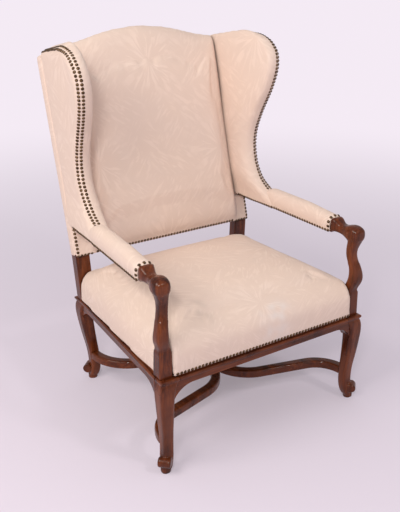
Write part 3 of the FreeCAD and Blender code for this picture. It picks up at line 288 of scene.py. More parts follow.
star_a, outside_a = frond_star(0.5, 0.5 - STAR_LEVEL / STAR_TALL)
star_b, outside_b = frond_star(0.0, 1.0 - STAR_LEVEL / STAR_TALL)
drift = cloudy(damask, inside.outputs[0], scale=7.0, detail=2.0)
rising = times(leaf_strokes(lean=0.9), fade(drift, 0.46, 0.56))
falling = times(leaf_strokes(lean=-0.7), fade(drift, 0.52, 0.42))
sprays = times(times(larger(rising, falling), 0.8), times(outside_a, outside_b))
figure = larger(larger(star_a, star_b), sprays)
across_yarn = calc(damask, "SINE", times(flat_u, YARNS_ACROSS))
along_yarn = calc(damask, "SINE", times(flat_v, YARNS_ALONG))
plain_weave = times(times(across_yarn, along_yarn), minus(1.0, figure))
woven = plus(plain_weave, times(times(along_yarn, 0.8), figure))
plug(damask, outside, {"Figure": figure, "Yarn": times_plus(woven, 0.5, 0.5)})
print("damask group:", len(damask.nodes), "nodes")

# %% [markdown]
# ## Wear and painted shade, in a group of its own
# Old cloth and old polish are never even: broad soft patches differ a little in tone. Corners and places
# between parts, which little light reaches, are painted darker as shade. Both are used by several finishes,
# so they form one group with a mask for the patches and a mask of painted shade for the sheltered corners.

# %% Patches, and painted shade in sheltered corners
wear_and_shade_group, inside, outside = new_group("wear_and_painted_shade", "Place", {"Patch Scale": 5.0, "Reach": 0.03},
                                   ("Patches", "Painted Shade"))
clouds = cloudy(wear_and_shade_group, inside.outputs["Place"], inside.outputs["Patch Scale"], detail=5.0, rough=0.6)
# Ambient occlusion gives the painted shade: corners and places between parts are made darker.
occlusion = add_node(wear_and_shade_group, "ShaderNodeAmbientOcclusion", {"Distance": inside.outputs["Reach"]}, samples=6)
plug(wear_and_shade_group, outside, {"Patches": spread(wear_and_shade_group, clouds, 0.35, 0.68),
                      "Painted Shade": calc(wear_and_shade_group, "SUBTRACT", 1.0, occlusion.outputs["AO"])})


def wear_and_shade_masks(tree, patch_scale, reach):
    """The mask of wear patches and the mask of painted shade, for one finish."""
    inputs = {"Place": object_place(tree), "Patch Scale": patch_scale, "Reach": reach}
    return add_node(tree, "ShaderNodeGroup", inputs, node_tree=wear_and_shade_group).outputs[:2]


def darker(tone, share):
    return tuple(share * c for c in tone)


print("age group:", len(wear_and_shade_group.nodes), "nodes")

# %% Cover cloth
GROUND_TONE = (0.765, 0.592, 0.495)
FIGURE_TONE = (0.82, 0.645, 0.545)
WORN_TONE = (0.70, 0.56, 0.495)
SMUDGE_TONE = (0.36, 0.285, 0.25)
BLEACH_TONE = (0.76, 0.70, 0.68)


def cover_cloth(name):
    """A damask finish, read from the piece's own cloth attribute, with the wear of its stain attribute and
    painted shade in its corners.
    """
    made, tree, shader = new_material(name)
    cloth = add_node(tree, "ShaderNodeAttribute", attribute_name="cloth")
    weave = add_node(tree, "ShaderNodeGroup", {"Cloth": cloth.outputs["Vector"]}, node_tree=damask)
    figure, yarn = weave.outputs["Figure"], weave.outputs["Yarn"]
    patches, painted_shade = wear_and_shade_masks(tree, patch_scale=4.0, reach=0.03)
    stain = add_node(tree, "ShaderNodeAttribute", attribute_name="stain").outputs["Fac"]
    tone = mix_colour(tree, figure, GROUND_TONE, FIGURE_TONE)
    tone = mix_colour(tree, calc(tree, "MULTIPLY", patches, 0.30), tone, WORN_TONE)
    # Painted shade: where ambient light is blocked, the cloth is mixed towards a dim copy of its ground.
    crease_shade = spread(tree, painted_shade, 0.25, 0.95, to_high=0.55)
    tone = mix_colour(tree, crease_shade, tone, darker(GROUND_TONE, 0.45))
    tone = mix_colour(tree, spread(tree, stain, 0.0, 1.0), tone, SMUDGE_TONE)
    tone = mix_colour(tree, spread(tree, stain, 0.0, -1.0), tone, BLEACH_TONE)
    height = calc(tree, "MULTIPLY_ADD", figure, 0.55, calc(tree, "MULTIPLY", yarn, 0.45))
    plug(tree, shader, {
        "Base Color": tone, "Roughness": spread(tree, figure, 0.0, 1.0, to_low=0.88, to_high=0.62),
        "Specular IOR Level": 0.28, "Sheen Weight": 0.12, "Sheen Roughness": 0.5,
        "Normal": raised(tree, height, strength=0.32, distance=0.0012)})
    return made


cream_damask = cover_cloth("cream_damask")
print("cover:", cream_damask.name)

# %% [markdown]
# ## Polished wood
# The frame is a red-brown hardwood under many thin coats of polish. Grain runs the length of each rail, leg
# or arm, so the same group of grain is placed with a different stretch for each direction. The polish is a
# clear coat over the wood, and that coat gives the small, crisp lights on the knuckles and beads.

# %% Grain group and wood finishes
ALONG_X, ALONG_Y, ALONG_Z = (1.0, 9.0, 9.0), (9.0, 1.0, 9.0), (9.0, 9.0, 1.0)
SHOW = ((0.016, 0.0030, 0.0012), (0.078, 0.0150, 0.0042), (0.19, 0.046, 0.0120))
INNER = ((0.20, 0.12, 0.065), (0.33, 0.21, 0.12), (0.45, 0.31, 0.19))
POLISH = 0.05

grain, inside, outside = new_group("wood_grain", "Place", {}, ("Tone", "Pores"))
figuring = cloudy(grain, inside.outputs[0], scale=3.2, detail=6.0, rough=0.62, distortion=0.8)
streaks = cloudy(grain, inside.outputs[0], scale=26.0, detail=3.0)
tone = calc(grain, "MULTIPLY_ADD", streaks, 0.35, calc(grain, "MULTIPLY", figuring, 0.75))
pores = cloudy(grain, inside.outputs[0], scale=95.0, detail=2.0)
plug(grain, outside, {"Tone": spread(grain, tone, 0.32, 0.78), "Pores": spread(grain, pores, 0.35, 0.5)})


def wood_finish(name, stretch, tones, rough, coat):
    """Wood in a dark, a middle and a light tone, with its grain along the axis whose stretch is small."""
    made, tree, shader = new_material(name)
    turned = add_node(tree, "ShaderNodeMapping", {"Vector": object_place(tree), "Scale": stretch})
    lines = add_node(tree, "ShaderNodeGroup", {"Place": turned.outputs[0]}, node_tree=grain)
    patches, painted_shade = wear_and_shade_masks(tree, patch_scale=9.0, reach=0.02)
    ramp = add_node(tree, "ShaderNodeValToRGB", {0: lines.outputs["Tone"]})
    ramp.color_ramp.elements.new(0.5)
    for element, place, colour in zip(ramp.color_ramp.elements, (0.0, 0.5, 1.0), tones):
        element.position = place
        element.color = (*colour, 1.0)
    tone = mix_colour(tree, calc(tree, "MULTIPLY", patches, 0.45), ramp.outputs[0], tones[2])
    # Painted shade: where ambient light is blocked, the wood is mixed towards a dim copy of its darkest tone.
    tone = mix_colour(tree, spread(tree, painted_shade, 0.3, 0.9, to_high=0.75), tone, darker(tones[0], 0.35))
    plug(tree, shader, {
        "Base Color": tone, "Roughness": calc(tree, "MULTIPLY_ADD", patches, 0.12, rough - 0.05),
        "Specular IOR Level": 0.12, "Coat Weight": coat, "Coat Roughness": POLISH,
        "Normal": raised(tree, lines.outputs["Pores"], strength=0.10, distance=0.0006)})
    return made


wood_up = wood_finish("show_wood_upright", ALONG_Z, SHOW, rough=0.30, coat=0.38)
wood_across = wood_finish("show_wood_across", ALONG_X, SHOW, rough=0.30, coat=0.38)
wood_deep = wood_finish("show_wood_deep", ALONG_Y, SHOW, rough=0.30, coat=0.38)
inner_up = wood_finish("frame_wood_upright", ALONG_Z, INNER, rough=0.7, coat=0.0)
inner_across = wood_finish("frame_wood_across", ALONG_X, INNER, rough=0.7, coat=0.0)
print("woods:", [wood.name for wood in (wood_up, wood_across, wood_deep, inner_up, inner_across)])

# %% Dressing the wooden solids
SHARP = math.radians(32.0)
WORN_EDGE = 0.0011


def twins(*names):
    """The right and the left one of some pieces."""
    return [name + end for name in names for end in ("_right", "_left")]


for wood, names in {
    wood_up: twins("front_leg", "rear_post", "arm_support"),
    wood_across: ["front_seat_rail", "rear_seat_rail"],
    wood_deep: twins("seat_rail", "arm", "stretcher"),
    inner_up: twins("wing_upright") + ["arm_dowels"],
    inner_across: twins("wing_top_rail") + ["lower_back_rail", "crest_rail", "seat_corner_blocks",
                                            "stretcher_peg"],
}.items():
    for name in names:
        mesh = solids[name].data
        mesh.materials.clear()
        mesh.materials.append(wood)
        mesh.polygons.foreach_set("use_smooth", [True] * len(mesh.polygons))
        mesh.set_sharp_from_angle(angle=SHARP)
        worn = solids[name].modifiers.new("worn_edges", "BEVEL")
        worn.width = WORN_EDGE
        worn.segments = 2
        worn.limit_method = "ANGLE"
        worn.angle_limit = SHARP
print("wooden solids dressed")

# %% [markdown]
# ## How the padded pieces are made
# Every cover on this chair is cloth pulled over stuffing and nailed down at its edges. Each one starts as a
# few points of its outline, which are extruded to a block. A voxel remesh cuts the block into even small
# faces, and a formula moves these to the pad's rough shape. Then Blender's Cloth blows the cover up from
# inside while its nailed edges stay put, which gives the full, slightly uneven roundness of stuffing. No
# point may move inwards, where the stuffing is, and how far it may move is capped.

# %% Helpers for shapes
def at_rest(obj):
    """The object's mesh with its modifiers, as a new mesh."""
    bpy.context.view_layer.update()
    graph = bpy.context.evaluated_depsgraph_get()
    return bpy.data.meshes.new_from_object(obj.evaluated_get(graph))


def take_mesh(obj, mesh):
    """Gives an object a new mesh, and removes the old one and all modifiers."""
    old = obj.data
    obj.modifiers.clear()
    obj.data = mesh
    mesh.name = obj.name
    bpy.data.meshes.remove(old)


def block(name, outline, depth):
    """An object made of a closed outline of points, extruded by a vector."""
    bm = bmesh.new()
    face = bm.faces.new([bm.verts.new(point) for point in outline])
    grown = bmesh.ops.extrude_face_region(bm, geom=[face], use_keep_orig=True)
    moved = [part for part in grown["geom"] if isinstance(part, bmesh.types.BMVert)]
    bmesh.ops.translate(bm, verts=moved, vec=depth)
    bmesh.ops.triangulate(bm, faces=[f for f in bm.faces if len(f.verts) > 4])
    bmesh.ops.recalc_face_normals(bm, faces=bm.faces)
    return new_object(name, bm)


def whole(half):
    """A closed outline from its right half, whose ends may lie on the middle line."""
    return half + [(-x, along) for x, along in reversed(half) if x]


def even_faces(obj, size):
    """Cuts an object's surface into even faces of about one size."""
    cut = obj.modifiers.new("even_faces", "REMESH")
    cut.mode = "VOXEL"
    cut.voxel_size = size
    cut.adaptivity = 0.0
    take_mesh(obj, at_rest(obj))


def reshape(obj, move):
    """Moves every vertex by a formula."""
    for vertex in obj.data.vertices:
        vertex.co = move(vertex.co)


def relax(obj, rounds, chosen=None):
    """Evens out the vertices that a test chooses."""
    bm = bmesh.new()
    bm.from_mesh(obj.data)
    verts = [v for v in bm.verts if chosen is None or chosen(v.co)]
    for _ in range(rounds):
        bmesh.ops.smooth_vert(bm, verts=verts, factor=0.5, use_axis_x=True, use_axis_y=True, use_axis_z=True)
    bm.to_mesh(obj.data)
    bm.free()


def mirror(obj):
    """Turns a right-hand piece into a left-hand one."""
    bm = bmesh.new()
    bm.from_mesh(obj.data)
    bmesh.ops.scale(bm, vec=(-1.0, 1.0, 1.0), verts=bm.verts)
    bmesh.ops.reverse_faces(bm, faces=bm.faces)
    bm.to_mesh(obj.data)
    bm.free()


# %% Helpers for covers
CLOTH = {"quality": 5, "mass": 0.3, "tension_stiffness": 12.0, "compression_stiffness": 12.0,
         "bending_stiffness": 0.6, "vertex_group_mass": "nailed", "use_pressure": True}
LAST_FRAME = 20


def plump(obj, nailed, pressure, cap):
    """Blows the cover up from inside with cloth; nailed(point) is 1 where it is held."""
    start = [(vertex.co.copy(), vertex.normal.copy()) for vertex in obj.data.vertices]
    held = obj.vertex_groups.new(name="nailed")
    for vertex in obj.data.vertices:
        held.add([vertex.index], nailed(vertex.co), "REPLACE")
    cover = obj.modifiers.new("cover", "CLOTH")
    for key, value in CLOTH.items():
        setattr(cover.settings, key, value)
    cover.settings.uniform_pressure_force = pressure
    cover.settings.effector_weights.gravity = 0.0
    cover.collision_settings.use_collision = False
    for number in range(1, LAST_FRAME + 1):
        scene.frame_set(number)
    swollen = at_rest(obj)
    scene.frame_set(1)
    furthest = 0.0
    for vertex, (began, outward) in zip(swollen.vertices, start):
        step = vertex.co - began
        step -= outward * min(0.0, step.dot(outward))
        if step.length > cap:
            step *= cap / step.length
        vertex.co = began + step
        furthest = max(furthest, step.length)
    take_mesh(obj, swollen)
    obj.vertex_groups.clear()
    print(obj.name, "swelled by up to", round(1000 * furthest, 1), "mm, capped at", round(1000 * cap, 1))


def keep_cloth_place(obj, flatten):
    """Stores where each point lies on the flat cloth, for the woven pattern."""
    mark = obj.data.attributes.new("cloth", "FLOAT_VECTOR", "POINT")
    for vertex in obj.data.vertices:
        u, v = flatten(vertex.co)
        mark.data[vertex.index].vector = (u, v, 0.0)


def dress(obj, finish, slot_name, *nodes):
    """Gives a piece its finish and smooth shading, hangs it on the frame's root and hides the solids that it
    stands for.
    """
    mesh = obj.data
    mesh.materials.clear()
    mesh.materials.append(finish)
    mesh.polygons.foreach_set("use_smooth", [True] * len(mesh.polygons))
    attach(obj, "root")
    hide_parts(*nodes)
    print(obj.name, len(mesh.vertices), "points")


def upholster(obj, *stands_for, fill):
    """One subdivision and the cover's finish; fill, the share of the pad that is stuffing, is not used."""
    finer = obj.modifiers.new("finer", "SUBSURF")
    finer.levels = 1
    finer.render_levels = 1
    dress(obj, cream_damask, "cover_cloth", *stands_for)


def between(value, stops):
    """A value read from (place, value) stops, straight between them."""
    if value <= stops[0][0]:
        return stops[0][1]
    for (a, low), (b, high) in zip(stops, stops[1:]):
        if value <= b:
            return low + (high - low) * (value - a) / (b - a)
    return stops[-1][1]


def smooth_step(value, low, high):
    share = min(1.0, max(0.0, (value - low) / (high - low)))
    return share * share * (3.0 - 2.0 * share)


def lumps(point, *waves):
    """Soft unevenness of stuffing: the sum of some waves, each with a height, a size and a seed."""
    return sum(height * noise.noise(Vector(point) / size + Vector((seed, 2.0 * seed, -seed)))
               for height, size, seed in waves)


def uneven(way, share, *waves):
    """A formula that moves a point one way by its lumps, as far as share(point) says."""
    return lambda p: p + Vector(way) * (share(p) * lumps(p, *waves))


# %% [markdown]
# ## Places on the chair
# The seat frame is drawn about its own middle, and the whole chair is moved so that its box is centred. The
# leaning back has its own two directions: reach, measured forwards from the middle of its frame, and
# height, measured up along it from the bend above the seat. Both are used for the back, the wings and
# everything nailed to them.

# %% Measures of the frame, in metres
MIDDLE_Y = -0.07941
LEDGE = 0.300
SEAT_FRONT = (0.365, -0.311)
SEAT_REAR = (0.332, 0.311)
BEND = Vector((0.0, 0.283 + MIDDLE_Y, 0.447))
LEAN = math.radians(15.0)
CANVAS_FACE = 0.0215
HALF_BACK = 0.338
HALF_PAD = 0.278
CREST = [(0.0, 0.701), (0.045, 0.6994), (0.09, 0.6945), (0.131, 0.687), (0.175, 0.6755), (0.212, 0.666),
         (0.25, 0.659), (HALF_PAD, 0.657), (HALF_BACK, 0.633)]


def on_back(x, reach, height):
    """A point of the leaning back."""
    c, s = math.cos(LEAN), math.sin(LEAN)
    return Vector((x, BEND.y - reach * c + height * s, BEND.z + reach * s + height * c))


def from_back(point):
    """The x, reach and height of a point of the leaning back."""
    c, s = math.cos(LEAN), math.sin(LEAN)
    y, z = BEND.y - point.y, point.z - BEND.z
    return point.x, y * c + z * s, z * c - y * s


def crest_height(x):
    """The serpentine top of the back: a rise in the middle, a dip, and falling shoulders."""
    return between(abs(x), CREST)


print("bend of the back", [round(c, 4) for c in BEND])

# %% [markdown]
# ## The sprung seat
# The seat is a deep dome, higher in the middle than a hand's breadth above its frame, and it is cut out
# round the arm supports in front and the posts behind. Its outline is extruded a little above the ledge,
# and the top is then lifted by a profile that depends only on how far a point lies from the edge, which is
# how stuffing built up round an edge behaves. The underside follows the canvas over the springs.

# %% The seat's form
SEAT_FACES = 0.0076
SEAT_EDGE = 0.006
SEAT_REAR_EDGE = 0.007
SEAT_REAR_FALL = 0.036
SEAT_BASE = 0.001
SEAT_BLOCK = 0.057
SEAT_CROWN = 0.456
TOP_FROM = 0.052
BOTTOM_TO = 0.005
SEAT_NAILED = 0.014
UNDER_NAILED = 0.006
SEAT_RISE = [(0.0, 0.058), (0.004, 0.076), (0.020, 0.100), (0.052, 0.121), (0.095, 0.136), (0.145, 0.146),
             (0.200, 0.1515), (0.250, 0.1535), (0.300, 0.154)]
SEAT_UNDER = [(0.010, 0.001), (0.016, 0.036), (0.045, 0.040), (0.130, 0.1005)]
HALF_SEAT = [(0.0, -0.305), (0.3215, -0.305), (0.3215, -0.2590), (0.3575, -0.2590), (0.3300, 0.268),
             (0.282, 0.268), (0.282, 0.304), (0.0, 0.304)]


def seat_side(y):
    """Half the width of the seat's plan at a depth measured from the frame's middle."""
    return between(y, [(SEAT_FRONT[1], SEAT_FRONT[0]), (SEAT_REAR[1], SEAT_REAR[0])])


def soft_least(values, power=3.4):
    """The least of some distances, rounded where two are alike."""
    return sum(max(value, 0.0004) ** -power for value in values) ** (-1.0 / power)


def seat_inset(point):
    """How far a point lies inside the edge of the seat's plan."""
    y = point.y - MIDDLE_Y
    side = seat_side(y) - SEAT_EDGE - abs(point.x)
    behind = SEAT_REAR[1] - SEAT_REAR_EDGE - y
    behind = max(behind / 2.0, behind - SEAT_REAR_FALL)
    return soft_least((side, y - SEAT_FRONT[1] - SEAT_EDGE, behind))


def seat_dome(point):
    """Lifts the block's top to the dome and its bottom to the canvas."""
    inset = seat_inset(point)
    if point.z > LEDGE + TOP_FROM:
        return Vector((point.x, point.y, LEDGE + between(inset, SEAT_RISE)))
    if point.z < LEDGE + BOTTOM_TO:
        return Vector((point.x, point.y, LEDGE + between(inset, SEAT_UNDER)))
    return point


def seat_held(point):
    """The seat's cover is held along its foot and under the dome."""
    under = LEDGE + between(seat_inset(point), SEAT_UNDER)
    return 1.0 if point.z < max(LEDGE + SEAT_NAILED, under + UNDER_NAILED) else 0.0


def seat_cloth(point):
    """The seat's cloth runs on down its sides."""
    drop = SEAT_CROWN - point.z
    return point.x * (1.0 + drop / 0.35), (point.y - MIDDLE_Y) * (1.0 + drop / 0.30) + 0.06


seat = block("seat", [Vector((x, y + MIDDLE_Y, LEDGE + SEAT_BASE)) for x, y in whole(HALF_SEAT)],
             Vector((0.0, 0.0, SEAT_BLOCK)))
even_faces(seat, SEAT_FACES)
reshape(seat, seat_dome)
even_faces(seat, SEAT_FACES)
relax(seat, rounds=4, chosen=lambda p: p.z > LEDGE + 0.02)
plump(seat, seat_held, pressure=4.0, cap=0.012)
reshape(seat, uneven((0.0, 0.0, 1.0), lambda p: smooth_step(p.z, LEDGE + 0.05, LEDGE + 0.12),
                     (0.0022, 0.16, 1.0), (0.0008, 0.05, 4.0)))
keep_cloth_place(seat, seat_cloth)

# %% The seat's wear
# Each worn place has a strength, which is dark above zero and bleached below, a middle and two half widths.
WEAR = ((0.34, (-0.188, -0.315), (0.040, 0.060)), (-0.50, (0.030, -0.370), (0.060, 0.030)))
stain = seat.data.attributes.new("stain", "FLOAT", "POINT")
for vertex in seat.data.vertices:
    broken = 0.75 + lumps(vertex.co, (0.9, 0.022, 31.0))
    stain.data[vertex.index].value = sum(
        strength * broken * math.exp(-((vertex.co.x - x) / wide) ** 2 - ((vertex.co.y - y) / deep) ** 2)
        for strength, (x, y), (wide, deep) in WEAR)
upholster(seat, "seat_cover", "seat_stuffing", fill=0.85)

# %% [markdown]
# ## The inside back
# The back pad fills the frame between the wings and widens below them, where it runs in front of the posts.
# Its top follows the serpentine crest. It is drawn upright, in reach and height, and leaned at the end. Its
# face rises quickly from a nailed edge and is then nearly flat, because the stuffing is thin and even.

# %% Back
BACK_FACES = 0.0066
BACK_FACE = [(0.0, 0.010), (0.005, 0.021), (0.020, 0.032), (0.050, 0.040), (0.095, 0.045), (0.18, 0.048)]
LOW_FACE = [(0.0, 0.003), (0.004, 0.005), (0.012, 0.0065), (0.05, 0.0070)]
BACK_FOOT = [(0.0, 0.0100), (0.015, 0.0135), (0.022, 0.0200), (0.034, 0.0280), (0.06, 0.0365),
             (0.12, 0.0450), (0.20, 0.0480)]
LOW_TOP = 0.098
BACK_BASE = 0.001
BACK_SIDE = 0.2835
SIDE_TOP = 0.6565
BACK_REAR = 0.0218
BACK_BLOCK = 0.0125
POST_FACE = 0.0192
FRONT_FROM = 0.030
REAR_TO = 0.025
BACK_NAILED = 0.027
FOOT_NAILED = 0.012


def back_face(x, height):
    """How far the pad stands in front of its canvas."""
    side = 2.5 * (BACK_SIDE - abs(x)) + 0.006
    inset = soft_least((side, crest_height(x) - height))
    face = min(between(inset, BACK_FACE), between(height, BACK_FOOT))
    if height < LOW_TOP:
        low_inset = soft_least((HALF_BACK - abs(x), LOW_TOP - height, height))
        face = max(face, between(low_inset, LOW_FACE))
    return face


def back_swell(point):
    """Moves the block's front to the pad's face, and its rear against canvas or post."""
    x, reach, height = point.x, -point.y, point.z
    if reach > FRONT_FROM:
        return Vector((x, -CANVAS_FACE - back_face(x, height), height))
    if reach < REAR_TO and abs(x) > BACK_SIDE + 0.002:
        return Vector((x, -POST_FACE, height))
    return point


def back_held(point):
    """The back's cover is held behind, at its foot and over the low panels beside it."""
    low_panel = point.z < LOW_TOP and abs(point.x) > HALF_PAD
    return 1.0 if -point.y < BACK_NAILED or point.z < FOOT_NAILED or low_panel else 0.0


def leaned(point):
    """An upright point of the back, set on the leaning frame."""
    return on_back(point.x, -point.y, point.z)


half_back = [(HALF_BACK, BACK_BASE), (HALF_BACK, LOW_TOP), (BACK_SIDE, LOW_TOP), (BACK_SIDE, SIDE_TOP)]
half_back += [(x / 100.0, crest_height(x / 100.0)) for x in range(28, -1, -2)]
back = block("inside_back", [Vector((x, -BACK_REAR, height)) for x, height in whole(half_back)],
             Vector((0.0, -BACK_BLOCK, 0.0)))
even_faces(back, BACK_FACES)
reshape(back, back_swell)
even_faces(back, BACK_FACES)
relax(back, rounds=3, chosen=lambda p: -p.y > 0.034)
plump(back, back_held, pressure=3.0, cap=0.008)
reshape(back, uneven((0.0, -1.0, 0.0), lambda p: smooth_step(-p.y, 0.035, 0.06),
                     (0.0022, 0.17, 7.0), (0.0007, 0.05, 9.0)))
keep_cloth_place(back, lambda p: (p.x, p.z - 0.21))
reshape(back, leaned)
upholster(back, "back_cover", "back_stuffing", fill=0.8)

# %% [markdown]
# ## The wings
# Seen from the side, a wing is a deep S: narrow at its waist and wide at its ear. Its front is a fat roll
# about 50 mm thick, with two rows of nails on the roll's outer side, and its inner face swells softly
# between that roll and the back. Below, its cover runs on over both sides of the arm. The side view is
# extruded to a block, and the block is then moved to the flare, the swell and the roll of each height.

# %% The wing's slices
# A slice runs from the back to the front edge: its height in front and behind, how far it reaches, and its
# flare, swell and drop.
WING_SLICES = [
    (0.045, 0.108, 0.244, 0.009, 0.000, 0.0), (0.078, 0.140, 0.236, 0.006, 0.002, 0.0),
    (0.116, 0.166, 0.196, 0.000, 0.007, 0.0), (0.160, 0.196, 0.163, -0.003, 0.012, 0.0),
    (0.232, 0.256, 0.146, 0.000, 0.014, 0.0), (0.304, 0.325, 0.160, 0.002, 0.016, 0.0),
    (0.370, 0.392, 0.203, 0.006, 0.018, 0.0), (0.437, 0.462, 0.260, 0.013, 0.018, 0.0),
    (0.496, 0.523, 0.294, 0.020, 0.016, 0.0), (0.545, 0.572, 0.300, 0.024, 0.014, 0.001),
    (0.583, 0.604, 0.283, 0.024, 0.012, 0.004), (0.610, 0.630, 0.261, 0.022, 0.009, 0.010),
    (0.630, 0.645, 0.232, 0.020, 0.006, 0.016), (0.646, 0.661, 0.196, 0.017, 0.004, 0.022),
]
WING_REAR = 0.0187
WING_CLEAR = 0.0006


def through(points, steps):
    """A smooth line through points, with some steps between each two."""
    line = []
    for i in range(len(points) - 1):
        a, b = points[max(i - 1, 0)], points[i]
        c, d = points[i + 1], points[min(i + 2, len(points) - 1)]
        for k in range(steps):
            t = k / steps
            line.append(tuple(0.5 * (2 * q + (r - p) * t + (2 * p - 5 * q + 4 * r - s) * t * t
                                     + (3 * q - p - 3 * r + s) * t ** 3) for p, q, r, s in zip(a, b, c, d)))
    return line + [points[-1]]


fine_slices = through(WING_SLICES, steps=6)


def wing_slice(reach, height):
    """How far along its slice a point lies, and the slice's flare, swell and drop."""
    below = None
    for front, rear, far, *form in fine_slices:
        share = (reach - WING_REAR) / (far - WING_REAR)
        line = rear + (front - rear) * share
        here = (share, *form)
        if line >= height:
            if below is None or line == below[0]:
                return here
            mix = (height - below[0]) / (line - below[0])
            return tuple(a + (b - a) * mix for a, b in zip(below[1], here))
        below = (line, here)
    return below[1]


print("wing:", len(WING_SLICES), "slices, smoothed to", len(fine_slices))

# %% Places along the arm
PAD_RUN = 0.504
ARM_REAR_X = 0.316
ARM_SPREAD = 0.022
ARM_REAR_Z = 0.557
ARM_FALL = 0.009


def arm_share(y):
    """How far forward a point lies, from 0 at the rear to 1 at the pad's end."""
    return (SEAT_REAR[1] + MIDDLE_Y - y) / PAD_RUN


def arm_x(y):
    return ARM_REAR_X + ARM_SPREAD * arm_share(y)


def arm_bottom(y):
    return ARM_REAR_Z - ARM_FALL * arm_share(y)


print("arm: bottom from", arm_bottom(SEAT_REAR[1] + MIDDLE_Y), "m at the rear")

# %% Wings
WING_FACES = 0.0056
WING_THICK = 0.055
WING_BAND = 0.050
OUTER_SETBACK = 0.015
INNER_SETBACK = 0.008
ARM_WRAP = 0.0075
WRAP_FROM, WRAP_FULL = 0.21, 0.10
ROLL_FROM = 0.78
POST_NAILED = 0.024
WRAP_NAILED = 0.016
# The drag lines of the right wing: start and end in reach and height, then depth and width.
FOLDS = (
    ((0.19, 0.40), (0.075, 0.315), 0.0026, 0.008), ((0.165, 0.345), (0.06, 0.275), 0.0030, 0.009),
    ((0.150, 0.300), (0.055, 0.245), 0.0020, 0.008), ((0.225, 0.43), (0.12, 0.375), 0.0016, 0.008),
)


def wing_swell(point):
    """Moves a point of the straight block to the wing's flare, swell, rolled front and sloping top."""
    share, flare, swell, drop = wing_slice(-point.y, point.z)
    share = min(1.0, max(0.0, share))
    outer = HALF_BACK + flare * share + ARM_WRAP * smooth_step(point.z, WRAP_FROM, WRAP_FULL)
    inner_edge = HALF_BACK + flare - WING_BAND
    inner = HALF_BACK - WING_THICK
    inner += (inner_edge - inner) * share - 0.9 * swell * 4.0 * share * (1.0 - share)
    outward = (point.x - HALF_BACK + WING_THICK) / WING_THICK
    setback = OUTER_SETBACK if outward > 0.5 else INNER_SETBACK
    roll = setback * (2.0 * outward - 1.0) ** 2 * smooth_step(share, ROLL_FROM, 1.0)
    return Vector((inner + (outer - inner) * outward, point.y + roll, point.z - drop * outward))


def wing_folds(reach, height):
    """The drag lines across a wing's waist, where the cover was pulled to the nails."""
    depth = 0.0
    for start, end, strength, width in FOLDS:
        along = Vector((end[0] - start[0], end[1] - start[1]))
        run = Vector((reach - start[0], height - start[1]))
        share = run.dot(along) / along.length_squared
        off = abs(along.x * run.y - along.y * run.x) / along.length
        ends = smooth_step(share, -0.05, 0.25) * smooth_step(share, 1.1, 0.6)
        depth += strength * math.exp(-(off / width) ** 2) * ends
    return depth


def wing_held(point):
    """A wing's cover is held at the back, over the arm and along its front edge."""
    x, reach, height = from_back(point)
    if reach < POST_NAILED or point.z < arm_bottom(point.y) + WRAP_NAILED:
        return 1.0
    return 0.15 + 0.85 * smooth_step(wing_slice(reach, height)[0], 0.93, 0.985)


def wing_marks(point, side):
    """Small hollows, swellings and folds of a wing's inner face."""
    x, reach, height = from_back(point)
    share, flare = wing_slice(reach, height)[:2]
    middle = HALF_BACK - 0.5 * WING_THICK + flare * share
    free = smooth_step(x, middle, middle - 0.012) * smooth_step(share, 1.0, 0.85)
    lift = lumps(point, (0.0018, 0.12, 11.0 + 3.0 * side), (0.0006, 0.04, 15.0 + side))
    if side > 0:
        lift += wing_folds(reach, height)
    return Vector((point.x - free * lift, point.y, point.z))


def wing_cloth(point):
    """The wing's cloth runs round its front edge."""
    x, reach, height = from_back(point)
    return reach + 0.6 * (x - HALF_BACK), height + 0.06


def wing(end, side):
    """One wing; side is 1 on the right and -1 on the left."""
    profile = [(far, front) for front, rear, far, *form in fine_slices]
    profile += [(WING_REAR + WING_CLEAR, fine_slices[k][1]) for k in (-1, 0)]
    inner = HALF_BACK - WING_THICK
    made = block("wing_pad_" + end, [Vector((inner, -reach, height)) for reach, height in profile],
                 Vector((WING_THICK, 0.0, 0.0)))
    even_faces(made, WING_FACES)
    reshape(made, wing_swell)
    reshape(made, leaned)
    even_faces(made, WING_FACES)
    relax(made, rounds=2)
    plump(made, wing_held, pressure=2.5, cap=0.006)
    reshape(made, lambda p: wing_marks(p, side))
    keep_cloth_place(made, wing_cloth)
    if side < 0:
        mirror(made)
    upholster(made, "wing_cover_" + end, "wing_stuffing_" + end, fill=0.8)
    return made


wing_right = wing("right", 1)
wing_left = wing("left", -1)

# %% [markdown]
# ## The arm pads
# Each arm carries a fat, sausage-like pad that comes out of the wing's foot, bulges over the nails along
# its lower edge and gets lower towards the hand. Its section is drawn as an arch that straddles the wooden
# beam, extruded along the arm, bent to the arm's slope and blown up.

# %% Arm pads
PAD_FACES = 0.004
PAD_END = SEAT_REAR[1] - PAD_RUN + MIDDLE_Y
PAD_REAR = 0.245
PAD_CLEAR = 0.0008
BEAM_HALF = 0.0195
BEAM_TOP = 0.0288
BEAM_NEAR = 0.0205
BEAM_OVER = 0.030
PAD_NAILED = 0.013
ARCH = [(BEAM_HALF, 0.0005), (0.0258, 0.0005), (0.0266, 0.012), (0.0282, 0.024), (0.0276, 0.036),
        (0.0232, 0.046), (0.0130, 0.0530), (0.0, 0.0555)]


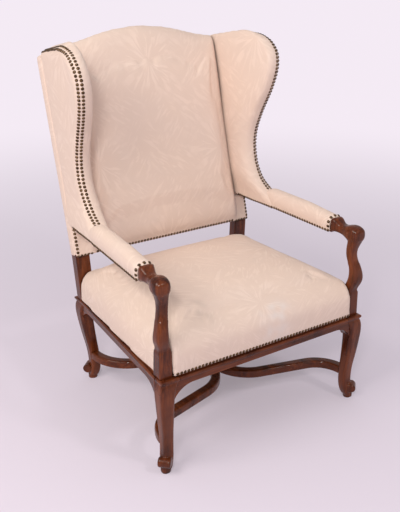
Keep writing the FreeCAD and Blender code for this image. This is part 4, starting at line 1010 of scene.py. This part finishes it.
def bent_to_arm(point):
    """Sets a point of the straight pad on the arm; the pad is lower in front and slim inside the wing."""
    ahead = point.y - PAD_END
    crown = smooth_step(point.z, 0.028, 0.053)
    within = smooth_step(point.y, 0.015, 0.05)
    lower = 0.05 - 0.15 * smooth_step(ahead, 0.0, 0.15) + 0.05 * (1.0 - smooth_step(ahead, 0.0, 0.006))
    tall = 1.0 - crown * lower - 0.16 * within * crown
    narrow = 1.0 - 0.03 * (1.0 - smooth_step(ahead, 0.0, 0.010)) - 0.10 * within
    return Vector((arm_x(point.y) + point.x * narrow, point.y, arm_bottom(point.y) + point.z * tall))


def against_back(point):
    """Stops the pad at the plane of the posts."""
    x, reach, height = from_back(point)
    return on_back(x, max(reach, WING_REAR + WING_CLEAR), height)


def pad_held(point):
    """A pad's cover is held along its foot, inside the arch and at the back."""
    rise = point.z - arm_bottom(point.y)
    inside_arch = abs(point.x - arm_x(point.y)) < BEAM_NEAR and rise < BEAM_OVER
    return 1.0 if rise < PAD_NAILED or inside_arch or from_back(point)[1] < POST_NAILED else 0.0


def arm_pad(end, side):
    """One arm pad; side is 1 on the right and -1 on the left."""
    section = whole(ARCH) + [(-BEAM_HALF, BEAM_TOP), (BEAM_HALF, BEAM_TOP)]
    made = block("arm_pad_" + end, [Vector((x, PAD_END + PAD_CLEAR, z)) for x, z in section],
                 Vector((0.0, PAD_REAR - PAD_END, 0.0)))
    even_faces(made, PAD_FACES)
    reshape(made, lambda p: against_back(bent_to_arm(p)))
    relax(made, rounds=2, chosen=lambda p: p.z > arm_bottom(p.y) + 0.014)
    plump(made, pad_held, pressure=5.0, cap=0.004)
    reshape(made, uneven((0.0, 0.0, 1.0), lambda p: smooth_step(p.z - arm_bottom(p.y), 0.02, 0.04),
                         (0.0008, 0.06, 21.0 + side)))
    keep_cloth_place(made, lambda p: (p.y, p.x - arm_x(p.y) + 0.7 * (p.z - arm_bottom(p.y)) + 0.1))
    if side < 0:
        mirror(made)
    upholster(made, "arm_cover_" + end, "arm_stuffing_" + end, fill=0.9)
    return made


arm_pad_right = arm_pad("right", 1)
arm_pad_left = arm_pad("left", -1)

# %% [markdown]
# ## The outside back
# Behind, the chair is closed by one plain panel of the same cloth, drawn tight over the posts and the
# crest. It wraps round both sides of the posts, so that the wings' outer faces run on into it. The outline
# of the whole back is extruded through the thickness of the frame, cut into even faces and softened a
# little.

# %% Outside back
PANEL_FACES = 0.008
PANEL_REAR = 0.0190
PANEL_DEEP = 0.0402
PANEL_DROP = 0.001

half_panel = [(HALF_BACK, 0.004), (HALF_BACK, 0.632), (HALF_PAD, 0.656)]
half_panel += [(x / 100.0, crest_height(x / 100.0) - PANEL_DROP) for x in range(26, -1, -2)]
outside_back = block("outside_back", [Vector((x, PANEL_REAR, height)) for x, height in whole(half_panel)],
                     Vector((0.0, -PANEL_DEEP, 0.0)))
even_faces(outside_back, PANEL_FACES)
relax(outside_back, rounds=2)
reshape(outside_back, uneven((0.0, 1.0, 0.0), lambda p: smooth_step(p.y, 0.0, 0.018), (0.0011, 0.14, 41.0)))
keep_cloth_place(outside_back, lambda p: (p.x + 0.1, p.z - 0.1))
reshape(outside_back, leaned)
upholster(outside_back, "outside_back_cover", fill=0.5)

# %% [markdown]
# ## Carved wood
# Each arm ends in a carved hand that turns down into its support without a visible joint. The solids have
# the two as separate pieces with a dowel. Here both are taken together, cut into even faces of about 2 mm
# and softened, so that the joint becomes one flowing curve, as a carver would leave it. The front legs and
# the members of the stretcher are softened in the same way, which gives them the rounded edges of old, much
# polished wood. The legs' tops keep their edges, because they have to meet the rails.

# %% Carved pieces
CARVED_FACES = 0.0021
HAND_FROM = 0.47
FREE_LEG = 0.225


def carved(name, finish, nodes, rounds, soft=None):
    """Some solids as one carved piece, softened where a test says so."""
    bm = bmesh.new()
    for node in nodes:
        part = solids[node].data.copy()
        part.transform(solids[node].matrix_world)
        bm.from_mesh(part)
        bpy.data.meshes.remove(part)
    made = new_object(name, bm)
    even_faces(made, CARVED_FACES)
    relax(made, rounds=1)
    relax(made, rounds, soft)
    dress(made, finish, "show_wood", *nodes)


def is_hand(point):
    return point.z > HAND_FROM and point.y < PAD_END - 0.003


for end in ("right", "left"):
    carved("carved_arm_" + end, wood_up, ("arm_" + end, "arm_support_" + end), rounds=22, soft=is_hand)
    carved("carved_leg_" + end, wood_up, ("front_leg_" + end,), rounds=5, soft=lambda p: p.z < FREE_LEG)
    carved("carved_stretcher_" + end, wood_deep, ("stretcher_" + end,), rounds=7)

# %% [markdown]
# ## The nails
# Domed nails of dark, tarnished brass hold the covers along every edge. Each head is the cap of a small
# sphere, cut off with a plane. The solids say where each nail goes, and the head is then set on the
# finished cover and turned to face the way that cover faces.

# %% Nail heads
HEAD_CURVE = 0.0056
HEAD_RISE = 0.0034
HEAD_SINK = 0.0005
SAME_POINT = 0.000002

tarnished, tree, shader = new_material("tarnished_brass")
patches = wear_and_shade_masks(tree, patch_scale=160.0, reach=0.004)[0]
plug(tree, shader, {"Base Color": mix_colour(tree, patches, (0.055, 0.029, 0.015), (0.19, 0.112, 0.058)),
                    "Metallic": 0.85, "Roughness": 0.36})


def nail_head():
    """One domed head of a few dozen faces, facing up."""
    bm = bmesh.new()
    bmesh.ops.create_uvsphere(bm, u_segments=10, v_segments=10, radius=HEAD_CURVE)
    everything = bm.verts[:] + bm.edges[:] + bm.faces[:]
    bmesh.ops.bisect_plane(bm, geom=everything, plane_co=(0.0, 0.0, HEAD_CURVE - HEAD_RISE),
                           plane_no=(0.0, 0.0, 1.0), clear_inner=True)
    bmesh.ops.translate(bm, verts=bm.verts, vec=(0.0, 0.0, HEAD_RISE - HEAD_CURVE - HEAD_SINK))
    mesh = bpy.data.meshes.new("nail_head")
    bm.to_mesh(mesh)
    bm.free()
    return mesh


def islands(node):
    """The points of every separate solid in a node."""
    bm = bmesh.new()
    bm.from_mesh(solids[node].data)
    bmesh.ops.remove_doubles(bm, verts=bm.verts, dist=SAME_POINT)
    left, found = set(bm.verts), []
    while left:
        solid = [left.pop()]
        for vertex in solid:
            joined = {link.other_vert(vertex) for link in vertex.link_edges} & left
            left -= joined
            solid += joined
        found.append([vertex.co.copy() for vertex in solid])
    bm.free()
    return found


def nail_places(node):
    """The middle of every separate nail in a node."""
    places = [sum(solid, Vector()) / len(solid) for solid in islands(node)]
    return sorted(places, key=lambda p: (round(p.z, 4), round(p.y, 4), round(p.x, 4)))


def row_of_heads(node, seats):
    """One piece with a head on every seat, which is a place and the way that it faces."""
    bm = bmesh.new()
    for spot, facing in seats:
        turn = facing.to_track_quat("Z", "Y").to_matrix().to_4x4()
        turn.translation = spot
        bm.from_mesh(head)
        bm.verts.ensure_lookup_table()
        bmesh.ops.transform(bm, matrix=turn, verts=bm.verts[-len(head.vertices):])
    dress(new_object(node + "_heads", bm), tarnished, "nail_brass", node)
    print(node, len(seats), "nails")


head = nail_head()
print("one head:", len(head.polygons), "faces")

# %% Rows of nails
DRIVEN_FROM = 0.06
DRIVEN_OFF = 0.03
SEAT_LIFT = 0.003
WING_MORE = 3
COLLAR_NAILS = 9
COLLAR_BACK = 0.0062
COLLAR_RISE = 0.018
COLLAR_FROM = 0.08
COLLAR_START, COLLAR_TURN = -22.0, 224.0


def surface(*pads):
    """Pads as trees that can be asked for their nearest point."""
    graph = bpy.context.evaluated_depsgraph_get()
    return [BVHTree.FromObject(pad, graph) for pad in pads]


def nearest(covers, place):
    """The nearest point of some covers, and the way that the cover faces there."""
    return min((cover.find_nearest(place) for cover in covers), key=lambda hit: hit[3])[:2]


def driven_row(node, pad, way, lift=0.0):
    """A straight row whose nails are driven in one direction, and sit a little higher where lift says so."""
    cover = surface(pad)[0]
    seats = []
    for place in nail_places(node):
        place.z += lift
        spot, facing = cover.ray_cast(place - DRIVEN_FROM * way, way)[:2]
        found = spot and (spot - place).length < DRIVEN_OFF
        seats.append((spot, facing) if found else nearest([cover], place))
    row_of_heads(node, seats)


def wing_row(node, pad, arm):
    """The double row of a wing, carried on downwards to the arm by a few nails."""
    places = nail_places(node)
    for low in places[:2]:
        above = min((p for p in places if p.z > low.z + 0.004), key=lambda p: (p - low).length)
        places += [low + k * (low - above) for k in range(1, WING_MORE + 1)]
    covers = surface(pad, arm)
    row_of_heads(node, [nearest(covers, place) for place in places])


def arm_row(node, pad, wing_pad, side):
    """The lower rows of an arm, and the collar of nails at its front end."""
    covers = surface(pad, wing_pad)
    places = nail_places(node)
    low = [p for p in places if p.z < arm_bottom(p.y) + 0.012]
    seats = [nearest(covers, place) for place in low]
    count = max(COLLAR_NAILS, len(places) - len(low))
    y = PAD_END + COLLAR_BACK
    middle = Vector((side * arm_x(y), y, arm_bottom(y) + COLLAR_RISE))
    for k in range(count):
        turn = math.radians(COLLAR_START + COLLAR_TURN * k / (count - 1))
        way = Vector((math.cos(turn), 0.0, math.sin(turn)))
        spot, facing = covers[0].ray_cast(middle + COLLAR_FROM * way, -way)[:2]
        if spot:
            seats.append((spot, facing))
    row_of_heads(node, seats)


bpy.context.view_layer.update()
driven_row("seat_nails", seat, Vector((0.0, 1.0, 0.0)), SEAT_LIFT)
driven_row("back_nails", back, Vector((0.0, math.cos(LEAN), -math.sin(LEAN))))
wing_row("wing_nails_right", wing_right, arm_pad_right)
wing_row("wing_nails_left", wing_left, arm_pad_left)
arm_row("arm_nails_right", arm_pad_right, wing_right, 1)
arm_row("arm_nails_left", arm_pad_left, wing_left, -1)

# %% [markdown]
# ## Webbing, canvas and springs
# Under the seat, and behind the back pad, strips of jute webbing are woven over and under each other. Coil
# springs stand on the seat's webbing, and canvas lies over them. Each strip is a narrow grid that rises
# over one crossing and dips under the next. Each spring is a small circle spun round an axis while it
# climbs, and then narrowed at its waist.

# %% Webbing
WEB_RISE = 0.0014
WEB_THICK = 0.0014


def plain_finish(name, tones, rough, metal=0.0, grain_scale=420.0):
    """A fine-grained finish in two tones."""
    made, tree, shader = new_material(name)
    fine = spread(tree, cloudy(tree, object_place(tree), grain_scale, detail=2.0), 0.35, 0.65)
    plug(tree, shader, {"Base Color": mix_colour(tree, fine, *tones), "Roughness": rough, "Metallic": metal})
    return made


jute = plain_finish("jute_webbing", ((0.30, 0.21, 0.12), (0.46, 0.34, 0.21)), rough=0.9)
hessian = plain_finish("hessian_canvas", ((0.36, 0.27, 0.17), (0.50, 0.39, 0.26)), rough=0.92)
steel = plain_finish("spring_steel", ((0.16, 0.14, 0.12), (0.30, 0.27, 0.24)), rough=0.42, metal=0.9,
                     grain_scale=60.0)


def box_of(points):
    """The low and high ends of some points in each direction."""
    return [(min(p[i] for p in points), max(p[i] for p in points)) for i in range(3)]


def thicken(obj, thickness):
    """Makes a sheet of faces a thin cloth."""
    thick = obj.modifiers.new("thick", "SOLIDIFY")
    thick.thickness = thickness
    thick.offset = 0.0


def weave(name, node, flatten, lay):
    """Interlaced strips in place of a node's straight ones; flatten gives two directions and the level."""
    boxes = [box_of([flatten(p) for p in solid]) for solid in islands(node)]
    level = sum(sum(b[2]) for b in boxes) / (2 * len(boxes))
    bm = bmesh.new()
    for axis in (0, 1):
        strips = sorted(b for b in boxes if (b[1][1] - b[1][0] > b[0][1] - b[0][0]) == (axis == 1))
        others = sorted((b for b in boxes if b not in strips), key=lambda b: b[axis])
        for i, strip in enumerate(strips):
            (start, end), (low, high) = strip[axis], strip[1 - axis]
            stops = [(sum(b[axis]) / 2, WEB_RISE if (i + j + axis) % 2 else -WEB_RISE)
                     for j, b in enumerate(others)]
            for vertex in bmesh.ops.create_grid(bm, x_segments=60, y_segments=3, size=0.5)["verts"]:
                along = start + (vertex.co.x + 0.5) * (end - start)
                across = low + (vertex.co.y + 0.5) * (high - low)
                rise = level + between(along, stops)
                vertex.co = lay(*((along, across, rise) if axis == 0 else (across, along, rise)))
    made = new_object(name, bm)
    dress(made, jute, "webbing", node)
    thicken(made, WEB_THICK)


def lying_back(point):
    """The back's directions, with its reach as the level."""
    x, reach, height = from_back(point)
    return x, height, reach


weave("seat_webs", "seat_webbing", tuple, lambda x, y, z: Vector((x, y, z)))
weave("back_webs", "back_webbing", lying_back, lambda x, height, reach: on_back(x, reach, height))

# %% Springs
WIRE = 0.0019
TURNS = 6
STEPS = 22 * TURNS
WAIST = 0.66


def coil(bm, bounds):
    """One waisted spring that fills a box."""
    (x0, x1), (y0, y1), (z0, z1) = bounds
    middle = Vector(((x0 + x1) / 2, (y0 + y1) / 2, 0.0))
    radius = (x1 - x0) / 2 - WIRE
    ring = bmesh.ops.create_circle(bm, cap_ends=False, segments=6, radius=WIRE)["verts"]
    bmesh.ops.rotate(bm, verts=ring, cent=(0.0, 0.0, 0.0), matrix=Matrix.Rotation(math.pi / 2, 3, "X"))
    bmesh.ops.translate(bm, verts=ring, vec=middle + Vector((radius, 0.0, z0 + WIRE)))
    first = len(bm.verts) - len(ring)
    edges = list({edge for vertex in ring for edge in vertex.link_edges})
    bmesh.ops.spin(bm, geom=ring + edges, cent=middle, axis=(0.0, 0.0, 1.0), angle=2 * math.pi * TURNS,
                   steps=STEPS, dvec=(0.0, 0.0, (z1 - z0 - 2 * WIRE) / STEPS))
    bm.verts.ensure_lookup_table()
    for vertex in bm.verts[first:]:
        share = 2.0 * (vertex.co.z - z0) / (z1 - z0) - 1.0
        narrow = WAIST + (1.0 - WAIST) * share * share
        vertex.co.x = middle.x + (vertex.co.x - middle.x) * narrow
        vertex.co.y = middle.y + (vertex.co.y - middle.y) * narrow


bm = bmesh.new()
for solid in islands("seat_springs"):
    coil(bm, box_of(solid))
bmesh.ops.recalc_face_normals(bm, faces=bm.faces)
dress(new_object("coil_springs", bm), steel, "spring_steel", "seat_springs")

# %% Canvas
CANVAS_THICK = 0.0012
CANVAS_CELLS = 48
SEAT_CANVAS_Y = 0.012
SEAT_CANVAS_HALF = 0.235
SEAT_CANVAS_INSET = 0.070
SEAT_CANVAS_SINK = 0.0015
BACK_CANVAS_HALF = 0.274
BACK_CANVAS_FOOT = 0.012
BACK_CANVAS_SHORT = 0.030
BACK_CANVAS_REACH = 0.0207


def run(place, along):
    """The length of a sheet's middle line, in one of its two directions."""
    steps = [2.0 * k / CANVAS_CELLS - 1.0 for k in range(CANVAS_CELLS + 1)]
    line = [place(t, 0.0) if along == 0 else place(0.0, t) for t in steps]
    return sum((b - a).length for a, b in zip(line, line[1:]))


def sheet(name, node, place):
    """A thin cloth, stretched over a piece; its two directions run from -1 to 1."""
    bm = bmesh.new()
    bmesh.ops.create_grid(bm, x_segments=CANVAS_CELLS, y_segments=CANVAS_CELLS, size=1.0)
    for vertex in bm.verts:
        vertex.co = place(vertex.co.x, vertex.co.y)
    made = new_object(name, bm)
    dress(made, hessian, "canvas", node)
    thicken(made, CANVAS_THICK)
    flat = (run(place, 0), run(place, 1))
    print(name, "was cut to", [round(side, 3) for side in flat])


def over_springs(u, v):
    """A point of the canvas over the springs."""
    y = SEAT_CANVAS_Y + SEAT_CANVAS_HALF * v
    place = Vector((u * (seat_side(y) - SEAT_CANVAS_INSET), y + MIDDLE_Y, 0.0))
    under = between(seat_inset(place), SEAT_UNDER) - SEAT_CANVAS_SINK
    place.z = LEDGE + under + lumps(place, (0.0012, 0.07, 51.0))
    return place


def behind_pad(u, v):
    """A point of the canvas behind the back pad."""
    x = BACK_CANVAS_HALF * u
    height = BACK_CANVAS_FOOT + (crest_height(x) - BACK_CANVAS_SHORT) * (v + 1.0) / 2.0
    return on_back(x, BACK_CANVAS_REACH + lumps((x, height, 0.0), (0.0004, 0.08, 53.0)), height)


sheet("spring_cloth", "seat_canvas", over_springs)
sheet("back_cloth", "back_canvas", behind_pad)
